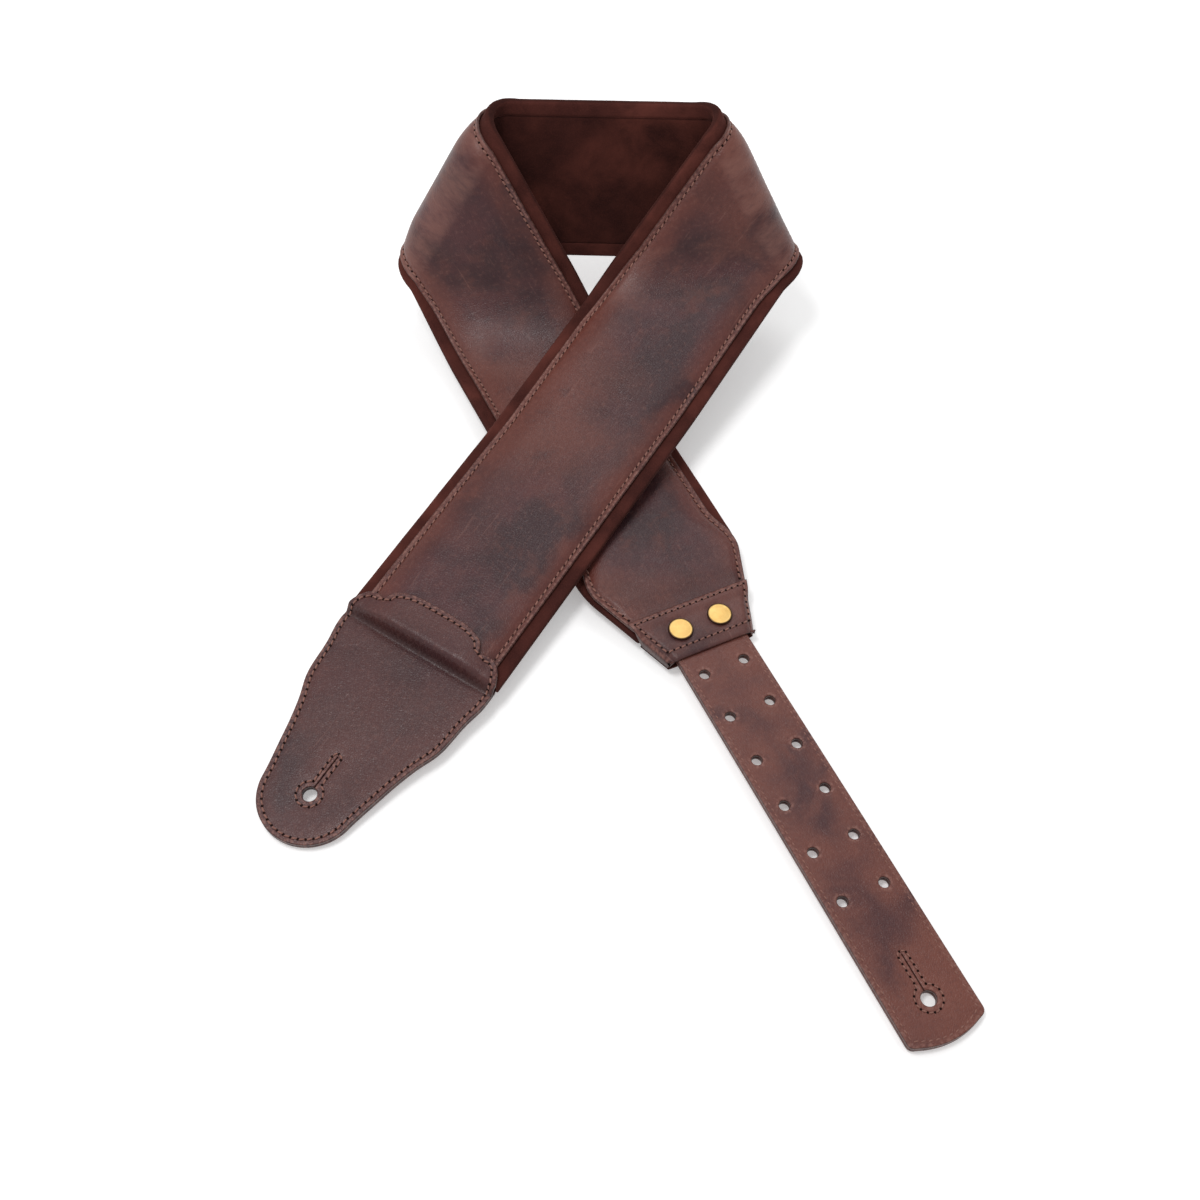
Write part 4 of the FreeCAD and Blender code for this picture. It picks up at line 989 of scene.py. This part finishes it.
def grain_group():
    """Hide grain: small pebbles between fine creases, pores and long soft wrinkles, as a height."""
    group, given, out = new_group("hide_grain", [
        ("Where", "NodeSocketVector", None), ("Size", "NodeSocketFloat", 1.0),
        ("Wrinkle", "NodeSocketFloat", 0.3)], [("Height", "NodeSocketFloat")])
    k = Nodes(group)
    where = k.scaled(given["Where"], given["Size"])
    bent = k.add("ShaderNodeTexNoise", {"Vector": where, "Scale": 260.0, "Detail": 2.0}).outputs[1]
    shifted = k.add("ShaderNodeVectorMath", {0: bent, 1: (0.0016, 0.0016, 0.0016), 2: where},
                    operation="MULTIPLY_ADD").outputs[0]
    cells = k.add("ShaderNodeTexVoronoi", {"Vector": shifted, "Scale": 820.0},
                  feature="DISTANCE_TO_EDGE").outputs[0]
    pebble = k.ramp(cells, 0.0, 0.22)
    fine = k.noise(where, 1500.0, 3.0, 0.6)
    soft = k.noise(where, 170.0, 4.0, 0.6, 0.6)
    off_middle = k.math("SUBTRACT", k.noise(where, 75.0, 4.0, 0.6, 0.9), 0.5)
    crease = k.ramp(k.math("ABSOLUTE", off_middle), 0.0, 0.035)
    height = k.math("ADD", k.times(pebble, 0.42), k.times(fine, 0.22))
    height = k.math("ADD", height, k.times(soft, 0.75))
    height = k.math("ADD", height, k.times(crease, given["Wrinkle"]))
    k.join(height, out.inputs["Height"])
    return group


def nap_group():
    """Suede: short nap brushed this way and that, as tone and height."""
    group, given, out = new_group("suede_nap", [
        ("Where", "NodeSocketVector", None), ("Dark", "NodeSocketColor", linear(44, 20, 18)),
        ("Light", "NodeSocketColor", linear(84, 44, 38)), ("Edge", "NodeSocketFloat", 1.0)],
        [("Color", "NodeSocketColor"), ("Height", "NodeSocketFloat")])
    k = Nodes(group)
    where = given["Where"]
    nap = k.noise(where, 40.0, 5.0, 0.62, 0.25)
    brushed = k.noise(where, 14.0, 2.0, 0.5, 0.2)
    fibre = k.noise(where, 1300.0, 3.0, 0.7, 0.5)
    tone = k.mix(k.ramp(nap, 0.25, 0.78), given["Dark"], given["Light"])
    tone = k.tint(tone, k.ramp(brushed, 0.60, 0.38), 0.5, given["Dark"])
    tone = k.tint(tone, k.ramp(fibre, 0.45, 0.75), 0.35, given["Light"])
    tone = k.tint(tone, k.ramp(given["Edge"], 0.03, 0.0), 0.45, linear(24, 10, 9))
    k.join(tone, out.inputs["Color"])
    height = k.math("ADD", k.times(fibre, 0.8), k.times(nap, 0.4))
    k.join(height, out.inputs["Height"])
    return group


PATINA, GRAIN, NAP = patina_group(), grain_group(), nap_group()


def new_material(name, **values):
    """Material whose shader has plain values on its own sockets."""
    material = bpy.data.materials.new(name)
    material.use_nodes = True
    shader = material.node_tree.nodes["Principled BSDF"]
    for key, value in values.items():
        shader.inputs[key.replace("_", " ")].default_value = value
    return material, Nodes(material.node_tree), shader


def leather(name, uv=True, size=1.0, offset=(0.0, 0.0, 0.0), colours=None, bump=0.00022, wrinkle=0.25):
    """Oiled pull-up leather, on the piece's own flat pattern."""
    material, k, shader = new_material(name, Specular_IOR_Level=0.32, Coat_Weight=0.10,
                                       Coat_Roughness=0.38)
    place = k.place("UV" if uv else "Object")
    where = k.add("ShaderNodeMapping", {"Vector": place, "Location": offset}).outputs[0]
    edge = k.read("edge")
    fold = k.read("fold")
    # the crease attribute carries the painted shade at the tab's step
    crease = k.read("crease")
    tone = k.add("ShaderNodeGroup", node_tree=PATINA)
    for key, value in (colours or {}).items():
        tone.inputs[key].default_value = value
    tone.inputs["Size"].default_value = size
    k.join(where, tone.inputs["Where"])
    if uv:
        k.join(edge, tone.inputs["Edge"])
        k.join(fold, tone.inputs["Fold"])
        k.join(crease, tone.inputs["Crease_Shade"])
    grain = k.add("ShaderNodeGroup", node_tree=GRAIN)
    k.join(where, grain.inputs["Where"])
    grain.inputs["Wrinkle"].default_value = wrinkle
    raised = k.bump(grain.outputs["Height"], 1.0, bump)
    k.cover(shader, tone.outputs["Color"], tone.outputs["Roughness"], raised)
    return material


def suede(name, uv=True, dark=None, light=None):
    """Matt suede with a short nap."""
    material, k, shader = new_material(name, Roughness=0.93, Specular_IOR_Level=0.12, Sheen_Weight=0.22,
                                       Sheen_Roughness=0.45)
    shader.inputs["Sheen Tint"].default_value = linear(150, 90, 80)
    place = k.place("UV" if uv else "Object")
    nap = k.add("ShaderNodeGroup", node_tree=NAP)
    k.join(place, nap.inputs["Where"])
    if uv:
        edge = k.read("edge")
        k.join(edge, nap.inputs["Edge"])
    if dark:
        nap.inputs["Dark"].default_value = dark
    if light:
        nap.inputs["Light"].default_value = light
    raised = k.bump(nap.outputs["Height"], 1.0, 0.00022)
    k.cover(shader, nap.outputs["Color"], raised=raised)
    return material


def thread(name):
    """Waxed thread: two plies twisted along the stitch, red-brown."""
    material, k, shader = new_material(name, Roughness=0.55, Specular_IOR_Level=0.4, Sheen_Weight=0.15)
    place = k.place()
    tone = k.mix(k.noise(place, 380.0, 2.0), linear(96, 56, 48), linear(156, 108, 94))
    fuzz = k.noise(place, 2600.0, 2.0, 0.7)
    raised = k.bump(fuzz, 0.6, 0.0002)
    k.cover(shader, tone, raised=raised)
    return material


def brass(name):
    """Satin brass, faintly scratched; the rolled rim of the cap is painted dark brown as shade, so the
    middle stays warmer.
    """
    material, k, shader = new_material(name, Metallic=1.0, Coat_Weight=0.25, Coat_Roughness=0.2)
    place = k.place()
    cloud = k.noise(place, 210.0, 3.0, 0.6)
    tone = k.mix(cloud, linear(204, 160, 82), linear(232, 198, 128))
    rim = k.read("rim")
    # painted shade: the rim of the cap darkened to a deep brown, for the dark ring round it
    tone = k.mix(rim, tone, linear(58, 36, 22))
    rough = k.math("ADD", k.times(k.noise(place, 700.0, 3.0), 0.18), 0.34)
    raised = k.bump(k.noise(place, 1500.0, 3.0, 0.7), 0.35, 0.00005)
    k.cover(shader, tone, rough, raised)
    return material


def foam(name):
    """Grey closed-cell foam."""
    material, k, shader = new_material(name, Roughness=0.95)
    place = k.place()
    tone = k.mix(k.noise(place, 900.0, 2.0), linear(38, 38, 40), linear(62, 62, 66))
    k.cover(shader, tone)
    return material


def painted_hole_shade(name):
    """Painted shade for the inside of a needle hole, near black brown."""
    material, k, shader = new_material(name, Roughness=0.9, Specular_IOR_Level=0.1)
    place = k.place()
    tone = k.mix(k.noise(place, 500.0, 2.0), linear(20, 9, 8), linear(34, 17, 15))
    k.cover(shader, tone)
    return material


PANEL_LEATHER = leather("oiled_leather_panel", bump=0.00013, wrinkle=0.20)
TAB_LEATHER = leather("oiled_leather_tab", offset=(0.31, 0.07, 0.0), size=1.15, bump=0.00016,
                      colours={"Body": linear(66, 36, 39), "Warm": linear(84, 47, 44),
                               "Deep": linear(52, 30, 34)}, wrinkle=0.28)
TAIL_LEATHER = leather("oiled_leather_tail", offset=(-0.2, 0.4, 0.0), size=1.2, bump=0.00018,
                       colours={"Body": linear(92, 50, 46), "Warm": linear(116, 66, 54),
                                "Deep": linear(70, 38, 40)}, wrinkle=0.35)
BAND_LEATHER = leather("oiled_leather_band", offset=(0.05, 0.2, 0.0), size=1.1, bump=0.00015,
                       colours={"Body": linear(86, 50, 48), "Warm": linear(104, 63, 56)}, wrinkle=0.2)
SUEDE_EDGE = suede("suede_edge", dark=linear(52, 24, 21), light=linear(92, 48, 41))
SUEDE_LINING = suede("suede_lining", dark=linear(38, 15, 13), light=linear(80, 40, 33))
SUEDE_PLAIN = suede("suede_plain", uv=False)
THREAD, BRASS = thread("waxed_thread"), brass("satin_brass")
# the second material is painted shade for the inside of the needle holes
FOAM, HOLE_SHADE = foam("foam"), painted_hole_shade("needle_hole_shade")


def finish(piece, material, body, slot, *nodes):
    """Gives a piece its material, its body and the nodes that it stands in for; the slot argument is not
    used.
    """
    piece.data.materials.clear()
    piece.data.materials.append(material)
    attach(piece, body)
    if nodes:
        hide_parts(*nodes)


def repaint(node, material):
    """Gives a node of the frame a material."""
    data = frame["nodes"][node]
    for slot in data.material_slots:
        slot.material = material


# ---- making the strap ----
panel = leather_panel()
finish(panel, PANEL_LEATHER, "strap", "oiled_leather", "front_leather")
for way, name in ((-1, "left"), (1, "right")):
    finish(suede_edge(way, f"suede_edge_{name}"), SUEDE_EDGE, "strap", "suede", f"edge_binding_{name}")
finish(suede_lining(), SUEDE_LINING, "strap", "suede", "suede_backing")

front, back = tail_pieces()
finish(front, TAIL_LEATHER, "tail", "oiled_leather", "tail_front")
finish(back, TAIL_LEATHER, "tail", "oiled_leather", "tail_back")
front, back = tab_pieces()
finish(front, TAB_LEATHER, "strap", "oiled_leather", "tab_front")
finish(back, TAB_LEATHER, "strap", "oiled_leather", "tab_back")
finish(mouth_band(), BAND_LEATHER, "band_flap", "oiled_leather", "mouth_band")
for way, name in ((-1, "left"), (1, "right")):
    cap = lathe(f"brass_cap_{name}", cap_profile(), SNAP_S, way * HOLE_ROWS / 2,
                CAP_DIAMETER / 2 - 1.1)
    finish(cap, BRASS, "band_flap", "brass", f"snap_cap_{name}")
    for part in ("socket", "stud", "post"):
        repaint(f"snap_{part}_{name}", BRASS)
repaint("foam_padding", FOAM)
repaint("pocket_lining", SUEDE_PLAIN)


def panel_top(s, t):
    """Top of the leather panel, dipped along its seam by a bell curve."""
    inside = half_width(s) - border(s, t) - np.abs(t)
    return panel_under(s, t) + LEATHER - 0.55 * np.exp(-((inside - SEAM_INSET) / 1.5) ** 2)


def sunk(height, depth):
    """A surface lowered by a depth, as a function of s and t."""
    return lambda s, t: height(s, t) - depth


def sew(name, node, body, runs, height, depth, hole=0.72, **thread_sizes):
    """Stitches and needle holes along runs on a surface, the thread sunk a little into it."""
    seams = [seam_points(run, sunk(height, depth)) for run in runs]
    piece, holes, hole_normals = stitches(f"{name[0]}stitches{name[1]}", seams, **thread_sizes)
    finish(piece, THREAD, body, "thread", node)
    dimples = needle_holes(f"{name[0]}needle_holes{name[1]}", holes, hole_normals, hole)
    # dark dimples painted as the shade inside the needle holes
    finish(dimples, HOLE_SHADE, body, "thread")


for way, name in ((-1, "left"), (1, "right")):
    s = np.arange(-TAB_LEG + 8, PANEL_END - 6, 1.0)
    run = np.stack([s, way * (half_width(s) - border(s, way) - SEAM_INSET)], 1)
    sew(("panel_", f"_{name}"), f"body_seam_{name}", "strap", [run], panel_top, 0.0)
side, scallop, key = tab_seams()
for run, name, node in ((side, "tab_edge_", "tab_seam"), (scallop, "tab_bracket_", "tab_bracket_seam"),
                        (key, "tab_keyhole_", "tab_keyhole_seam")):
    sew((name, ""), node, "strap", [resample(run, 1.0)], tab_height, 0.2, pitch=3.7)
# the edge thread is pulled down, so that it clears the lining when the tail is drawn in
for run, name, node, depth, thick in ((TAIL_SEAM, "tail_edge_", "tail_seam", 0.42, 0.37),
                                      (TAIL_KEY, "tail_keyhole_", "tail_keyhole_seam", 0.17, 0.42)):
    sew((name, ""), node, "tail", [resample(run, 1.0)], tail_height, depth, 0.6, pitch=3.2, radius=thick)

BAND_SEAM_TOP, BAND_SEAM_LOW = BAND_START + 2.4, POCKET_LEG - 4.4
band_runs = []
for s, gap in ((BAND_SEAM_TOP, 2.6), (BAND_SEAM_LOW, 3.2)):
    w = half_width(s) - gap
    band_runs.append(np.stack([np.full(40, s), np.linspace(-w, w, 40)], 1))
for way in (-1, 1):
    s = np.linspace(BAND_SEAM_TOP, BAND_SEAM_LOW, 20)
    band_runs.append(np.stack([s, way * (half_width(s) - 2.7)], 1))
sew(("band_", ""), "band_seam", "band_flap", band_runs, band_height, 0.02, 0.6, pitch=3.4, radius=0.45)

# ---- floor, light and camera ----
low, high = (np.array(c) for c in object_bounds())
middle = (low + high) / 2
FLOOR_REACH, FLOOR_HEIGHT = 6.0, -0.0006
corners = [[x * FLOOR_REACH, y * FLOOR_REACH, FLOOR_HEIGHT]
           for x, y in ((-1, -1), (1, -1), (1, 1), (-1, 1))]
floor = make_object("floor", corners, [[0, 1, 2, 3]])
material, k, shader = new_material("pale_floor", Roughness=0.9, Specular_IOR_Level=0.1)
shader.inputs["Base Color"].default_value = (0.9, 0.9, 0.9, 1)
shader.inputs["Emission Color"].default_value = (1, 1, 1, 1)
shader.inputs["Emission Strength"].default_value = 0.3
floor.data.materials.append(material)
floor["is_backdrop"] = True

world = bpy.data.worlds.new("studio")
world.use_nodes = True
world.node_tree.nodes["Background"].inputs["Color"].default_value = (1, 1, 1, 1)
world.node_tree.nodes["Background"].inputs["Strength"].default_value = 0.6
bpy.context.scene.world = world
bpy.context.scene.view_settings.view_transform = "Standard"


def soft_light(name, place, size, power):
    """Round area light, turned towards the middle of the strap."""
    data = bpy.data.lights.new(name, "AREA")
    data.shape, data.size, data.energy = "DISK", size, power
    light = bpy.data.objects.new(name, data)
    light.location = place
    aim = Vector(middle.tolist()) - Vector(place)
    light.rotation_euler = aim.to_track_quat("-Z", "Y").to_euler()
    bpy.context.scene.collection.objects.link(light)
    return light


soft_light("overhead", (-0.33, -0.10, 1.26), 0.36, 5.8)
soft_light("back", (0.18, 0.72, 1.1), 0.6, 2.4)
soft_light("left", (-1.2, -0.1, 0.8), 0.8, 1.2)

camera_data = bpy.data.cameras.new("camera")
SENSOR, FOCAL_RATIO, PITCH_DOWN = 36.0, 1490.4 / 1200, 56.02     # mm, lens over sensor, degrees
camera_data.lens, camera_data.sensor_width = FOCAL_RATIO * SENSOR, SENSOR
camera = bpy.data.objects.new("camera", camera_data)
camera.location = Vector((np.array([32.25, -657.35, 558.03]) * MM + SHIFT).tolist())
camera.rotation_euler = (math.radians(90 - PITCH_DOWN), 0, 0)
camera_data.clip_start = 0.01
bpy.context.scene.collection.objects.link(camera)
bpy.context.scene.camera = camera
